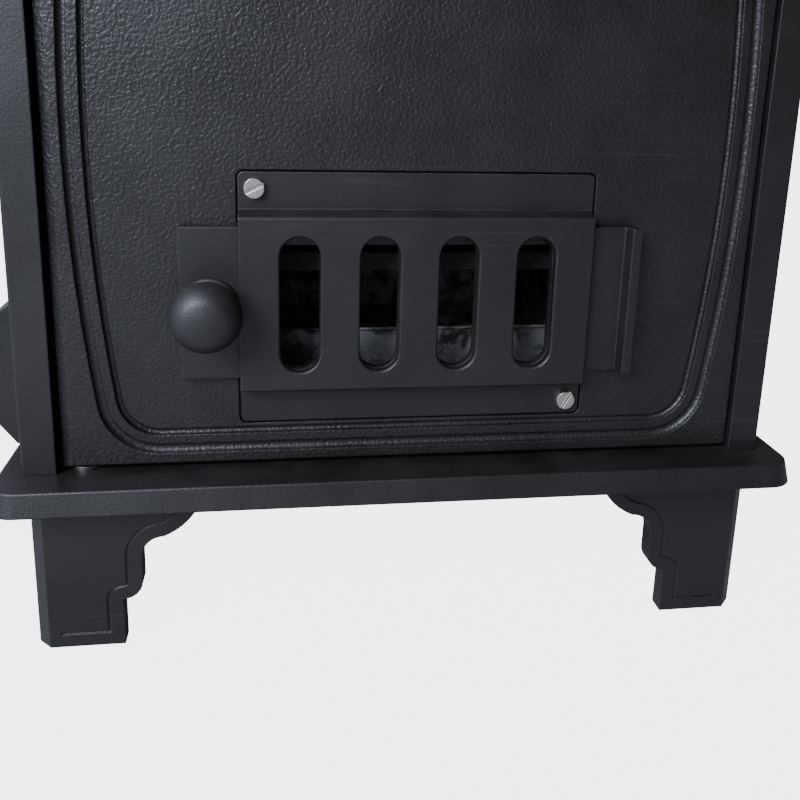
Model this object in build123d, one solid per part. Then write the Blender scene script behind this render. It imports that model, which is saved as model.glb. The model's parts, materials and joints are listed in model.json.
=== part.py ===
"""Cast-iron wood burning stove: body plates, hinged door with a sliding air vent, firebox, ash pan and feet.

Frame: origin on the floor under the middle of the whole stove, +Z up, the door faces -Y, +X is to the right of
a person who stands in front of the door. Millimetres. Depths are written as distances behind the front face of
the door frame, so a negative depth is in front of it.
"""
from build123d import *
import math
import os

# ---- body
BODY_W = 396.0              # over the two posts of the front frame
BODY_D = 330.0              # front frame face to the back of the rear panel
BODY_H = 470.0              # base plate to top plate
PANEL_T = 6.0               # cast side and rear panels
PANEL_INSET = 3.0           # side panels sit this far inside the posts
POST_W = 17.0
POST_D = 25.0               # post face to the flange behind the door
POST_EDGE_R = 1.5
FLANGE_T = 8.0

# ---- base and top plate
PLATE_T = 12.0
OVERHANG_SIDE = 12.0
OVERHANG_FRONT = 19.0
OVERHANG_REAR = 22.0
PLATE_FLARE = 3.0           # how much wider each plate is at its lower edge
PLATE_CORNER_R = 13.0
PLATE_EDGE_R = 1.0

# ---- feet
FOOT_H = 90.0
FOOT_WALL = 10.0
FOOT_BEVEL = 8.0
FOOT_SETBACK = 3.0
FOOT_TOP_W = 90.0           # wing under the base plate
FOOT_BULGE_R = 35.0         # scroll under the base plate
FOOT_SHELF_Z = 63.0         # where the scroll meets the cove
FOOT_COVE_R = 11.5
FOOT_LEG_W = 56.5
FOOT_SHIN_H = 14.0          # straight stretch below the cove
FOOT_TOE_W = 46.0
FOOT_BEAD = 8.0             # distance of the incised line from the scroll
FOOT_BEAD_W = 1.4
FOOT_BEAD_DEPTH = 0.8
FOOT_BOLT_SIDE = 38.0       # bolt from the outside of the posts
FOOT_BOLT_IN = 45.0         # bolt behind the front of the foot
FOOT_WEB_REACH = 62.0

# ---- door
DOOR_GAP_LEFT = 2.4         # gap to the post on the hinge side
DOOR_GAP_RIGHT = 1.4
DOOR_GAP_BOTTOM = 2.5
DOOR_GAP_TOP = 2.0
HEADER_H = 25.5
DOOR_SETBACK = 3.0          # frame face to the rim of the door
DOOR_T = 16.0
DOOR_PANEL_T = 7.0
DOOR_BAND = 33.0            # thick border that carries the rope groove
DOOR_BAND_LOW = 19.0
DOOR_BEVEL_W = 4.6          # shallow bevel down the hinge edge
DOOR_BEVEL_DEPTH = 2.0
DOOR_LOW_CHAMFER = 1.0
FACE_X = 2.4                # middle of the moulding, window and vent strips from the middle of the body
HINGE_INSET = 11.0
HINGE_PIN_D = 8.0
HINGE_RUNNING = 0.06        # radial clearance of the hinge pins
HINGE_BORE = 22.0           # bores in the door, from its lower and upper edge
HINGE_IN_DOOR = 20.0
HINGE_IN_BASE = 10.0
HINGE_IN_HEAD = 14.0
WASHER_T = 2.2
WASHER_R = 8.0

# ---- moulding of the door: two coved steps down to the panel
STEP_DEPTH = 2.0
STEP_W = 4.7
BAND_W = 4.5
INNER_STEP_W = 3.0
COVE_DIP = 0.7              # how far each cove runs below the level that it meets
MOULD_HALF_W = 172.4        # at the widest point of the sides
RIM_W = 5.9                 # rim left at the bottom and at the crown
SIDE_R = 1000.0             # the long bow of the sides
BOW_Z = 174.5               # widest point above the lower edge of the door
CROWN_R = 430.0
LOW_CORNER_R = 19.0
TOP_CORNER_R = 16.0

# ---- window
WINDOW_W = 200.0
WINDOW_FROM = 261.5         # lower edge of the window above the lower edge of the door
WINDOW_H = 138.0
WINDOW_CROWN = 17.0
WINDOW_CORNER_R = 14.0
WINDOW_RIM_W = 8.0
WINDOW_RIM_H = 2.5
GLASS_T = 4.0
GLASS_LAP = 10.0
GASKET_T = 1.5
CLIP_X = 60.0

# ---- door rope and its sealing rib
ROPE_W = 8.0
ROPE_DEPTH_IN = 5.0
ROPE_FROM_POST = 27.0
ROPE_LOW_INSET = 11.0
RIB_H = 3.0
ROPE_GAP = 0.3
ROPE_CORNER_R = 12.0        # middle of the rope at the corners of the door
ROPE_EDGE_R = 2.5
OPENING_SIDE = 35.0         # frame post to the clear opening
OPENING_LOW = 20.0
OPENING_TOP = 46.0
OPENING_R = 10.0

# ---- primary air vent
VENT_X = 1.6                # middle of the raised plate from the middle of the body
VENT_Z = 86.3               # centre of the vent above the lower edge of the door
VENT_W = 180.0
VENT_H = 89.5
VENT_T = 5.0
VENT_RAISE = 12.0           # raised plate in front of the door panel
VENT_STRIP_W = 182.0
VENT_STRIP_H = 131.0
VENT_STRIP_T = 4.0
VENT_DRAFT = 2.0
VENT_WALL = 5.5
SLOT_W = 20.0
SLOT_END = 9.75             # from the end of a slot to the edge of the raised plate
SLOT_PITCH = 40.0
SLOT_COUNT = 4
VENT_SCREW_IN = 8.0         # screws from the edges of the strips
SLIDER_T = 5.5
SLIDER_CLEAR = 2.25         # slider to the walls of the raised plate
SLIDER_LEFT = 119.0
SLIDER_TRAVEL = 17.5
SLIDER_GAP = 0.5
SLIDER_RAMP_W = 2.3         # slope up to the finger lip
SLIDER_LIP_T = 4.9
SLIDER_LIP_H = 6.0
PORT_W = 150.0              # opening through the door panel behind the vent
PORT_LOW = 38.8
PORT_HIGH = 28.7

# ---- knobs and handle
KNOB_D = 35.0
KNOB_L = 35.5
KNOB_BASE_D = 28.0
KNOB_NECK_D = 19.0
HANDLE_IN = 51.0            # spindle from the opening edge of the door
HANDLE_UP = 350.5           # spindle above the lower edge of the door
HANDLE_ARM = 70.0
HANDLE_ARM_T = 9.7
HANDLE_KNOB_L = 40.0
BOSS_R = 13.0
BOSS_PROUD = 2.0            # boss of the spindle in front of the rim
LEVER_GAP = 0.3
SPINDLE_R = 6.0
CAM_T = 6.0
CAM_REACH = 30.0
KEEPER_T = 3.0

# ---- inside
HEARTH_UP = 98.0            # underside of the hearth frame above the base plate
HEARTH_T = 10.0
GRATE_W = 188.0
GRATE_D = 158.0
GRATE_T = 8.0
GRATE_LEDGE = 7.0
GRATE_SUNK = 5.0
GRATE_BAR_PITCH = 18.0
GRATE_SLOT_W = 9.0
GRATE_BORDER = 13.0
BRICK_T = 22.0
BRICK_H = 260.0
BRICK_OUT = 172.0           # outer face of the side bricks from the middle
BAFFLE_T = 8.0
FENCE_T = 8.0
FENCE_H = 40.0
PAN_W = 270.0
PAN_D = 250.0
PAN_H = 58.5
PAN_T = 1.5
PAN_RAIL_H = 4.0
PAN_FROM = 48.0
ROD_R = 4.0
ROD_IN = 19.0               # tie rods from the outside of the posts
ROD_FROM = 88.0             # tie rods from the front and from the back
ROD_IN_TOP = 8.0            # tapped depth in the top plate
BOLT_CLEAR = 0.3

# ---- flue
FLUE_BORE_R = 63.5
FLUE_WALL = 6.5
FLUE_SHOULDER_R = 60.0
COLLAR_FLANGE_R = 90.0
COLLAR_FLANGE_T = 8.0
COLLAR_H = 46.0
COLLAR_GASKET_T = 2.0
COLLAR_PCD_R = 79.0
COLLAR_SHOULDER_H = 6.0     # step that the pipe stands on
COLLAR_THREAD_FROM = 2.0    # metal left under the collar's bolts
COLLAR_EDGE_R = 2.0
COLLAR_GASKET_R = 62.0      # bore of the gasket
FLUE_FROM_BACK = 105.0
REAR_PORT_R = 58.0
REAR_PORT_DOWN = 92.0
BLANK_RIM = 16.0            # blanking plate beyond its port
BLANK_T = 6.0
BLANK_SPIGOT = 4.0

# ---- rear heat shield
SHIELD_STAND = 14.0
SHIELD_T = 1.5
SHIELD_SIDE = 48.0          # from the outside of the posts
SHIELD_LOW, SHIELD_HIGH = 35.0, 275.0
SHIELD_SCREW_SIDE = 68.0
SHIELD_SCREW_LOW, SHIELD_SCREW_HIGH = 60.0, 250.0
SPACER_R = 6.5

# ---- airwash
WASH_W = 9.0
WASH_H = 6.0
WASH_PITCH = 20.0
WASH_FIRST = 35.0
WASH_TRAVEL = 10.0
WASH_T = 3.0
WASH_SLIDE_W, WASH_SLIDE_H = 170.0, 16.0
WASH_GUIDE_W, WASH_GUIDE_H = 200.0, 25.0
WASH_GUIDE_BACK = 2.0
WASH_GAP = 0.3
WASH_SCREW_IN, WASH_SCREW_Z = 10.0, 10.3
WASH_ARM_R = 2.5
WASH_ARM_OUT = 7.0          # arm in front of the frame face, inside its knob

# ---- swelling on the side panels
SWELL_OUT = 22.0            # outside of the posts
SWELL_FROM = 40.0           # its front end, behind the frame face
SWELL_HIGH = 86.7
SWELL_SLOPE = 14.6          # fall of its upper slope
SWELL_UNDER_W = 9.1         # slanted underside
SWELL_UNDER_H = 11.9
SWELL_WALL = 7.0
SWELL_TO_REAR = 30.0        # its rear end in front of the rear panel
SWELL_REAR_SLANT = 24.0

# ---- sunk field of the side panels
FIELD_BORDER = 26.0
FIELD_ABOVE_SWELL = 22.0
FIELD_STEP_W = 9.0
FIELD_STEP_DEPTH = 1.5
FIELD_R = 18.0
LEDGE_W = 4.5               # ledge that carries the hearth frame
LEDGE_H = 8.0

# ---- places worked out from the sizes above
HALF_W = BODY_W / 2
Z_BASE = FOOT_H + PLATE_T                       # top of the base plate
Z_TOP = Z_BASE + BODY_H                         # underside of the top plate
PROJECTION = HANDLE_KNOB_L + HANDLE_ARM_T + LEVER_GAP + BOSS_PROUD - DOOR_SETBACK
DEPTH = PROJECTION + BODY_D + OVERHANG_REAR + PLATE_FLARE
FRONT = PROJECTION - DEPTH / 2                  # Y of the frame's front face

D_RIM = DOOR_SETBACK
D_PANEL = D_RIM + 2 * STEP_DEPTH
D_PANEL_BACK = D_PANEL + DOOR_PANEL_T
D_DOOR_BACK = D_RIM + DOOR_T
D_HINGE = D_RIM + DOOR_T / 2
D_FLANGE = POST_D
D_FLANGE_BACK = POST_D + FLANGE_T
D_REAR = BODY_D - PANEL_T

DOOR_LEFT = -HALF_W + POST_W + DOOR_GAP_LEFT
DOOR_RIGHT = HALF_W - POST_W - DOOR_GAP_RIGHT
DOOR_Z0 = Z_BASE + DOOR_GAP_BOTTOM
DOOR_Z1 = Z_TOP - HEADER_H - DOOR_GAP_TOP
OPEN_X = HALF_W - POST_W - OPENING_SIDE
OPEN_Z0 = Z_BASE + OPENING_LOW
OPEN_Z1 = Z_TOP - OPENING_TOP
ROPE_X = HALF_W - POST_W - ROPE_FROM_POST
ROPE_Z0 = DOOR_Z0 + ROPE_LOW_INSET
ROPE_Z1 = DOOR_Z1 - ROPE_LOW_INSET
HINGE_X = DOOR_LEFT + HINGE_INSET
VENT_CZ = DOOR_Z0 + VENT_Z
VENT_FACE = D_PANEL - VENT_RAISE                # depth of the raised plate's front
SLOT_H = VENT_H - 2 * SLOT_END
SLIDER_H = VENT_H - 2 * (VENT_WALL - VENT_DRAFT + SLIDER_CLEAR)
SLIDER_FACE = VENT_FACE + VENT_T + SLIDER_GAP
SLIDER_BACK = SLIDER_FACE + SLIDER_T
SLIDER_STOP = VENT_X + VENT_W / 2 + SLIDER_TRAVEL + SLIDER_GAP
KNOB_X = VENT_X - VENT_W / 2 - KNOB_BASE_D / 2 - SLIDER_GAP
SPINDLE_X = DOOR_RIGHT - HANDLE_IN
SPINDLE_Z = DOOR_Z0 + HANDLE_UP
WINDOW_Z0 = DOOR_Z0 + WINDOW_FROM
WINDOW_Z1 = WINDOW_Z0 + WINDOW_H
HEARTH_Z0 = Z_BASE + HEARTH_UP
HEARTH_Z1 = HEARTH_Z0 + HEARTH_T
GRATE_MID = (D_FLANGE_BACK + D_REAR) / 2
PANEL_IN = HALF_W - PANEL_INSET - PANEL_T       # inner face of the side panels
ROD_X = HALF_W - ROD_IN
FLUE_D = BODY_D - FLUE_FROM_BACK
Z_COLLAR = Z_TOP + PLATE_T + COLLAR_GASKET_T
WASH_Z = Z_TOP - HEADER_H / 2
BRICK_FROM = D_FLANGE_BACK + 27.0
REAR_BRICK_FROM = D_REAR - 2.0 - BRICK_T
CLIP_LOW_Z = WINDOW_Z0 - GLASS_LAP - 7.0
CLIP_HIGH_Z = WINDOW_Z1 + 4.0 + GLASS_LAP - 2.0

# ---- fasteners
M3, M4, M5, M6, M8 = 1.5, 2.0, 2.5, 3.0, 4.0    # thread radii
HEX_M8 = 13.0               # across flats
HEX_HEAD_M8 = 5.3
HEX_NUT_M8 = 6.5
CHEESE_R_M6, CHEESE_H_M6 = 5.2, 3.4
PAN_R_M6, PAN_H_M6 = 5.5, 3.2
PAN_R_M5, PAN_H_M5 = 4.5, 2.6
PAN_R_M4, PAN_H_M4 = 4.0, 2.6
PAN_R_M3, PAN_H_M3 = 2.3, 1.8
BLIND = 6.0                 # depth of a blind tapped hole
STUD_OUT = 9.0              # thread that stands out below the feet and the base plate
NODES = {}


def block(x0, x1, d0, d1, z0, z1):
    """Box from two X values, two depths and two heights."""
    size = Box(x1 - x0, d1 - d0, z1 - z0, align=Align.MIN)
    return Pos(x0, FRONT + d0, z0) * size


def along_y(sketch, d0, d1):
    """Prism of an X-Z outline between two depths."""
    plane = Plane(origin=(0, FRONT + d1, 0), x_dir=(1, 0, 0), z_dir=(0, -1, 0))
    return extrude(plane * sketch, amount=d1 - d0, dir=plane.z_dir)


def along_x(sketch, x0, x1):
    """Prism of a depth-height outline between two X values."""
    plane = Plane(origin=(x0, FRONT, 0), x_dir=(0, 1, 0), z_dir=(1, 0, 0))
    return extrude(plane * sketch, amount=x1 - x0, dir=plane.z_dir)


def pin_y(x, z, d0, d1, r):
    """Cylinder along Y."""
    return along_y(Pos(x, z) * Circle(r), d0, d1)


def pin_z(x, d, z0, z1, r):
    """Cylinder along Z."""
    return Pos(x, FRONT + d, z0) * extrude(Circle(r), amount=z1 - z0)


def hex_z(x, d, z0, z1, across):
    """Hexagonal prism along Z."""
    outline = RegularPolygon(across / math.sqrt(3), 6)
    return Pos(x, FRONT + d, z0) * extrude(outline, amount=z1 - z0)


def hex_y(x, z, d0, d1, across):
    """Hexagonal prism along Y."""
    return along_y(Pos(x, z) * RegularPolygon(across / math.sqrt(3), 6), d0, d1)


def rect(x0, x1, z0, z1, r=0.0):
    """Rectangle from its corners, with an optional corner radius."""
    shape = RectangleRounded(x1 - x0, z1 - z0, r) if r else Rectangle(x1 - x0, z1 - z0)
    return Pos((x0 + x1) / 2, (z0 + z1) / 2) * shape


def group(solids):
    """Several loose solids of one kind in one node."""
    return Compound(children=[s for s in solids])


def mirrored(solid):
    return mirror(solid, about=Plane.YZ)


def dome_screw(x, z, seat, tip, thread, head_r, head_h, slot_angle=None):
    """Screw along Y: its head stands in front of the seat, its thread runs back to the tip."""
    head = pin_y(x, z, seat - head_h, seat, head_r)
    head = chamfer(head.faces().sort_by(Axis.Y)[0].edges(), head_h * 0.18)
    if slot_angle is not None:
        slot = Pos(x, z) * Rot(0, 0, slot_angle) * Rectangle(head_r * 2.4, 1.6)
        head -= along_y(slot, seat - head_h - 1.0, seat - head_h * 0.55)
    return head + pin_y(x, z, seat - 0.1, tip, thread)


def back_screw(x, z, seat, tip, thread, head_r, head_h):
    """Screw along Y whose head stands behind the seat."""
    head = pin_y(x, z, seat, seat + head_h, head_r)
    head = chamfer(head.faces().sort_by(Axis.Y)[-1].edges(), head_h * 0.2)
    return head + pin_y(x, z, tip, seat + 0.1, thread)


# ---------------------------------------------------------------- base, top and feet
def edge_plate(z0):
    """Plate with flared sides and rounded corners, used for the base and the top."""
    wide = BODY_W + 2 * OVERHANG_SIDE
    deep = BODY_D + OVERHANG_FRONT + OVERHANG_REAR
    middle = FRONT - OVERHANG_FRONT + deep / 2
    outline = RectangleRounded(wide + 2 * PLATE_FLARE, deep + 2 * PLATE_FLARE, PLATE_CORNER_R + PLATE_FLARE)
    angle = math.degrees(math.atan(PLATE_FLARE / PLATE_T))
    plate = Pos(0, middle, z0) * extrude(outline, amount=PLATE_T, taper=angle)
    return fillet(plate.faces().sort_by(Axis.Z)[-1].edges(), PLATE_EDGE_R)


def foot_bolt_places():
    near = FOOT_SETBACK + FOOT_BOLT_IN
    x = HALF_W - FOOT_BOLT_SIDE
    return [(sx * x, d) for sx in (-1, 1) for d in (near, BODY_D - near)]


def tie_rod_places():
    return [(sx * ROD_X, d) for sx in (-1, 1) for d in (ROD_FROM, BODY_D - ROD_FROM)]


def base_plate():
    plate = edge_plate(FOOT_H)
    for sx in (-1, 1):
        rail_x = sx * (PAN_W / 2 - 25.0)
        plate += block(rail_x - 4, rail_x + 4, PAN_FROM, PAN_FROM + PAN_D, Z_BASE - 0.5, Z_BASE + PAN_RAIL_H)
    for x, d in foot_bolt_places() + tie_rod_places():
        plate -= pin_z(x, d, FOOT_H - 1, Z_BASE + 1, M8 + BOLT_CLEAR)
    return plate - pin_z(HINGE_X, D_HINGE, Z_BASE - HINGE_IN_BASE, Z_BASE + 1, HINGE_PIN_D / 2)


def foot_outline():
    """One wing of a bracket foot: distance from the outer corner against height."""
    shelf = (FOOT_LEG_W + FOOT_COVE_R, FOOT_SHELF_Z)
    knee = (FOOT_LEG_W, FOOT_SHELF_Z - FOOT_COVE_R)
    ankle = (FOOT_LEG_W, knee[1] - FOOT_SHIN_H)
    toe_r = FOOT_LEG_W - FOOT_TOE_W
    toe = (FOOT_TOE_W, ankle[1] - toe_r)
    edges = [
        Line((0, 0), (0, FOOT_H)),
        Line((0, FOOT_H), (FOOT_TOP_W, FOOT_H)),
        RadiusArc((FOOT_TOP_W, FOOT_H), shelf, FOOT_BULGE_R),
        RadiusArc(shelf, knee, -FOOT_COVE_R),
        Line(knee, ankle),
        RadiusArc(ankle, toe, toe_r),
        Line(toe, (FOOT_TOE_W, 0)),
        Line((FOOT_TOE_W, 0), (0, 0)),
    ]
    return make_face(edges)


def foot():
    """Right front foot, at its corner: two scrolled wings with a bevelled corner and a bolting web."""
    outline = foot_outline()
    line = offset(outline, -FOOT_BEAD + FOOT_BEAD_W / 2) - offset(outline, -FOOT_BEAD - FOOT_BEAD_W / 2)
    line &= Pos(FOOT_BEAD * 1.6, -1) * Rectangle(FOOT_TOP_W, FOOT_H + 2, align=Align.MIN)
    front_plane = Plane(origin=(0, 0, 0), x_dir=(-1, 0, 0), z_dir=(0, 1, 0))
    side_plane = Plane(origin=(0, 0, 0), x_dir=(0, 1, 0), z_dir=(1, 0, 0))
    wing_front = extrude(front_plane * outline, amount=FOOT_WALL, dir=(0, 1, 0))
    wing_side = extrude(side_plane * outline, amount=FOOT_WALL, dir=(-1, 0, 0))
    web_w = FOOT_WEB_REACH - FOOT_WALL
    web = Pos(-FOOT_WALL + 1, FOOT_WALL - 1, FOOT_H - FOOT_WALL) * Box(
        web_w, web_w, FOOT_WALL, align=(Align.MAX, Align.MIN, Align.MIN)
    )
    body = wing_front + wing_side + web
    bevel = Polygon((1, -1), (-FOOT_BEVEL, -1), (1, FOOT_BEVEL), align=None)
    body -= Pos(0, 0, -1) * extrude(bevel, amount=FOOT_H + 2, dir=(0, 0, 1))
    body -= extrude(front_plane * line, amount=FOOT_BEAD_DEPTH, dir=(0, 1, 0))
    body -= extrude(side_plane * line, amount=FOOT_BEAD_DEPTH, dir=(-1, 0, 0))
    return body


def feet():
    x_bolt, d_bolt = foot_bolt_places()[-2]
    right = Pos(HALF_W, FRONT + FOOT_SETBACK, 0) * foot()
    right -= pin_z(x_bolt, d_bolt, 0, FOOT_H + 1, M8 + BOLT_CLEAR)
    middle = Plane(origin=(0, FRONT + BODY_D / 2, 0), x_dir=(1, 0, 0), z_dir=(0, 1, 0))
    rear = mirror(right, about=middle)
    NODES["foot_front_right"] = right
    NODES["foot_front_left"] = mirrored(right)
    NODES["foot_rear_right"] = rear
    NODES["foot_rear_left"] = mirrored(rear)
    bolts = []
    nuts = []
    for x, d in foot_bolt_places():
        seat = FOOT_H - FOOT_WALL
        head = hex_z(x, d, Z_BASE, Z_BASE + HEX_HEAD_M8, HEX_M8)
        bolts.append(head + pin_z(x, d, seat - STUD_OUT, Z_BASE + 0.1, M8))
        nuts.append(hex_z(x, d, seat - HEX_NUT_M8, seat, HEX_M8) - pin_z(x, d, seat - 7, seat + 1, M8))
    NODES["foot_bolts"] = group(bolts)
    NODES["foot_nuts"] = group(nuts)


def top_plate():
    plate = edge_plate(Z_TOP)
    plate -= pin_z(0, FLUE_D, Z_TOP - 1, Z_TOP + PLATE_T + 1, FLUE_SHOULDER_R)
    for x, d in tie_rod_places():
        plate -= pin_z(x, d, Z_TOP - 1, Z_TOP + ROD_IN_TOP, ROD_R)
    for x, d in collar_bolt_places():
        plate -= pin_z(x, d, Z_TOP + COLLAR_THREAD_FROM, Z_TOP + PLATE_T + 1, M8)
    return plate


def tie_rods():
    places = tie_rod_places()
    NODES["tie_rods"] = group([pin_z(x, d, FOOT_H - STUD_OUT, Z_TOP + ROD_IN_TOP, ROD_R) for x, d in places])
    nut_z = FOOT_H - HEX_NUT_M8
    nuts = [hex_z(x, d, nut_z, FOOT_H, HEX_M8) - pin_z(x, d, nut_z - 1, FOOT_H + 1, ROD_R) for x, d in places]
    NODES["tie_rod_nuts"] = group(nuts)


# ---------------------------------------------------------------- front frame and panels
def front_frame():
    frame = block(-HALF_W, HALF_W, 0, D_FLANGE_BACK, Z_BASE, Z_TOP)
    door_well = HALF_W - POST_W
    frame -= block(-door_well, door_well, -1, D_FLANGE, Z_BASE - 1, Z_TOP - HEADER_H)
    frame = fillet(frame.edges().filter_by(Axis.Z).group_by(Axis.Y)[0].group_by(Axis.X)[0], POST_EDGE_R)
    frame = fillet(frame.edges().filter_by(Axis.Z).group_by(Axis.Y)[0].group_by(Axis.X)[-1], POST_EDGE_R)
    frame -= along_y(rect(-OPEN_X, OPEN_X, OPEN_Z0, OPEN_Z1, OPENING_R), D_FLANGE - 1, D_FLANGE_BACK + 1)
    rib = rope_ring(ROPE_W, ROPE_CORNER_R)
    frame += along_y(rib, D_FLANGE - RIB_H, D_FLANGE + 0.5)
    for x in wash_places():
        frame -= along_y(Pos(x, WASH_Z) * Rectangle(WASH_W, WASH_H), -1, D_FLANGE_BACK + 1)
    frame -= along_y(Pos(WASH_TRAVEL / 2, WASH_Z) * SlotOverall(WASH_TRAVEL + 6.0, 6.0), -1, D_FLANGE_BACK + 1)
    for x, z in wash_screw_places():
        frame -= pin_y(x, z, D_FLANGE_BACK - BLIND, D_FLANGE_BACK + 1, M3)
    for x, z in keeper_screw_places():
        frame -= pin_y(x, z, D_FLANGE_BACK - BLIND, D_FLANGE_BACK + 1, M5)
    head = Z_TOP - HEADER_H
    return frame - pin_z(HINGE_X, D_HINGE, head - 1, head + HINGE_IN_HEAD, HINGE_PIN_D / 2)


def rope_ring(width, corner):
    """Closed band on the line of the door rope."""
    half = width / 2
    outer = rect(-ROPE_X - half, ROPE_X + half, ROPE_Z0 - half, ROPE_Z1 + half, corner + half)
    inner = rect(-ROPE_X + half, ROPE_X - half, ROPE_Z0 + half, ROPE_Z1 - half, corner - half)
    return outer - inner


def side_panel():
    """Right side panel: a sunk double-stepped field above a bevelled swelling."""
    outside = PANEL_IN + PANEL_T
    d0 = D_FLANGE_BACK
    panel = block(PANEL_IN, outside, d0, D_REAR, Z_BASE, Z_TOP)
    crest = HALF_W + SWELL_OUT
    swell = Polygon(
        (outside - 1, Z_BASE),
        (crest - SWELL_UNDER_W, Z_BASE),
        (crest, Z_BASE + SWELL_UNDER_H),
        (crest, Z_BASE + SWELL_HIGH - SWELL_SLOPE),
        (HALF_W, Z_BASE + SWELL_HIGH),
        (outside - 1, Z_BASE + SWELL_HIGH),
        align=None,
    )
    swell_end = D_REAR - SWELL_TO_REAR
    bump = along_y(swell, SWELL_FROM, swell_end)
    slope = Polygon(
        (crest + 1, FRONT + swell_end - SWELL_REAR_SLANT),
        (crest + 1, FRONT + swell_end + 1),
        (outside + 0.5, FRONT + swell_end + 1),
        align=None,
    )
    bump -= Pos(0, 0, Z_BASE) * extrude(slope, amount=SWELL_HIGH + 5, dir=(0, 0, 1))
    panel += bump
    low = Z_BASE + SWELL_WALL
    high = Z_BASE + SWELL_HIGH - SWELL_SLOPE
    hollow_end = swell_end - SWELL_TO_REAR
    panel -= block(PANEL_IN - 1, crest - SWELL_WALL, SWELL_FROM + SWELL_WALL, hollow_end, low, high)
    field_z0 = Z_BASE + SWELL_HIGH + FIELD_ABOVE_SWELL
    field_z1 = Z_TOP - FIELD_BORDER
    for grow, depth in ((0.0, FIELD_STEP_DEPTH), (-FIELD_STEP_W, 2 * FIELD_STEP_DEPTH)):
        field = Pos((d0 + D_REAR) / 2, (field_z0 + field_z1) / 2) * RectangleRounded(
            D_REAR - d0 - 2 * FIELD_BORDER + 2 * grow, field_z1 - field_z0 + 2 * grow, FIELD_R + grow
        )
        panel -= along_x(field, outside - depth, outside + 1)
    ledge_z = HEARTH_Z0 - LEDGE_H
    ledge = block(PANEL_IN - LEDGE_W, PANEL_IN + 1, BRICK_FROM, REAR_BRICK_FROM, ledge_z, HEARTH_Z0)
    return panel + ledge


def rear_panel():
    panel = block(-HALF_W + PANEL_INSET, HALF_W - PANEL_INSET, D_REAR, BODY_D, Z_BASE, Z_TOP)
    panel -= pin_y(0, Z_TOP - REAR_PORT_DOWN, D_REAR - 1, BODY_D + 1, REAR_PORT_R)
    for x, z in shield_places():
        panel -= pin_y(x, z, D_REAR - 1, BODY_D + 1, M6)
    for x, z in blank_places():
        panel -= pin_y(x, z, D_REAR - 1, BODY_D + 1, M6)
    return panel


def blank_places():
    ring = REAR_PORT_R + BLANK_RIM / 2
    angles = [math.radians(90 + 120 * i) for i in range(3)]
    return [(ring * math.cos(a), Z_TOP - REAR_PORT_DOWN + ring * math.sin(a)) for a in angles]


def blanking_plate():
    z = Z_TOP - REAR_PORT_DOWN
    plate = pin_y(0, z, BODY_D, BODY_D + BLANK_T, REAR_PORT_R + BLANK_RIM)
    plate = fillet(plate.faces().sort_by(Axis.Y)[-1].edges(), 2.0)
    plate += pin_y(0, z, BODY_D - BLANK_SPIGOT, BODY_D + 1, REAR_PORT_R - 0.7)
    for x, zz in blank_places():
        plate -= pin_y(x, zz, BODY_D - 1, BODY_D + BLANK_T + 1, M6 + BOLT_CLEAR)
    return plate


def shield_places():
    x = HALF_W - SHIELD_SCREW_SIDE
    return [(sx * x, z) for sx in (-1, 1) for z in (Z_BASE + SHIELD_SCREW_LOW, Z_BASE + SHIELD_SCREW_HIGH)]


def rear_shield():
    x = HALF_W - SHIELD_SIDE
    seat = BODY_D + SHIELD_STAND
    sheet = along_y(rect(-x, x, Z_BASE + SHIELD_LOW, Z_BASE + SHIELD_HIGH, 8.0), seat, seat + SHIELD_T)
    spacers = []
    screws = []
    for px, pz in shield_places():
        sheet -= pin_y(px, pz, BODY_D, seat + SHIELD_T + 1, M6 + BOLT_CLEAR)
        tube = pin_y(px, pz, BODY_D, seat, SPACER_R) - pin_y(px, pz, BODY_D - 1, seat + 1, M6 + 0.2)
        spacers.append(tube)
        screws.append(back_screw(px, pz, seat + SHIELD_T, D_REAR, M6, PAN_R_M6, PAN_H_M6))
    NODES["rear_heat_shield"] = sheet
    NODES["shield_spacers"] = group(spacers)
    NODES["shield_screws"] = group(screws)


# ---------------------------------------------------------------- flue
def collar_bolt_places():
    angles = [math.radians(45 + 90 * i) for i in range(4)]
    return [(COLLAR_PCD_R * math.cos(a), FLUE_D + COLLAR_PCD_R * math.sin(a)) for a in angles]


def flue_collar():
    flange = pin_z(0, FLUE_D, Z_COLLAR, Z_COLLAR + COLLAR_FLANGE_T, COLLAR_FLANGE_R)
    flange = fillet(flange.faces().sort_by(Axis.Z)[-1].edges(), COLLAR_EDGE_R)
    tube = pin_z(0, FLUE_D, Z_COLLAR, Z_COLLAR + COLLAR_H, FLUE_BORE_R + FLUE_WALL)
    tube = fillet(tube.faces().sort_by(Axis.Z)[-1].edges(), COLLAR_EDGE_R)
    collar = flange + tube
    collar -= pin_z(0, FLUE_D, Z_COLLAR - 1, Z_COLLAR + COLLAR_H + 1, FLUE_SHOULDER_R)
    collar -= pin_z(0, FLUE_D, Z_COLLAR + COLLAR_SHOULDER_H, Z_COLLAR + COLLAR_H + 1, FLUE_BORE_R)
    for x, d in collar_bolt_places():
        collar -= pin_z(x, d, Z_COLLAR - 1, Z_COLLAR + COLLAR_FLANGE_T + 1, M8 + BOLT_CLEAR)
    return collar


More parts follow.
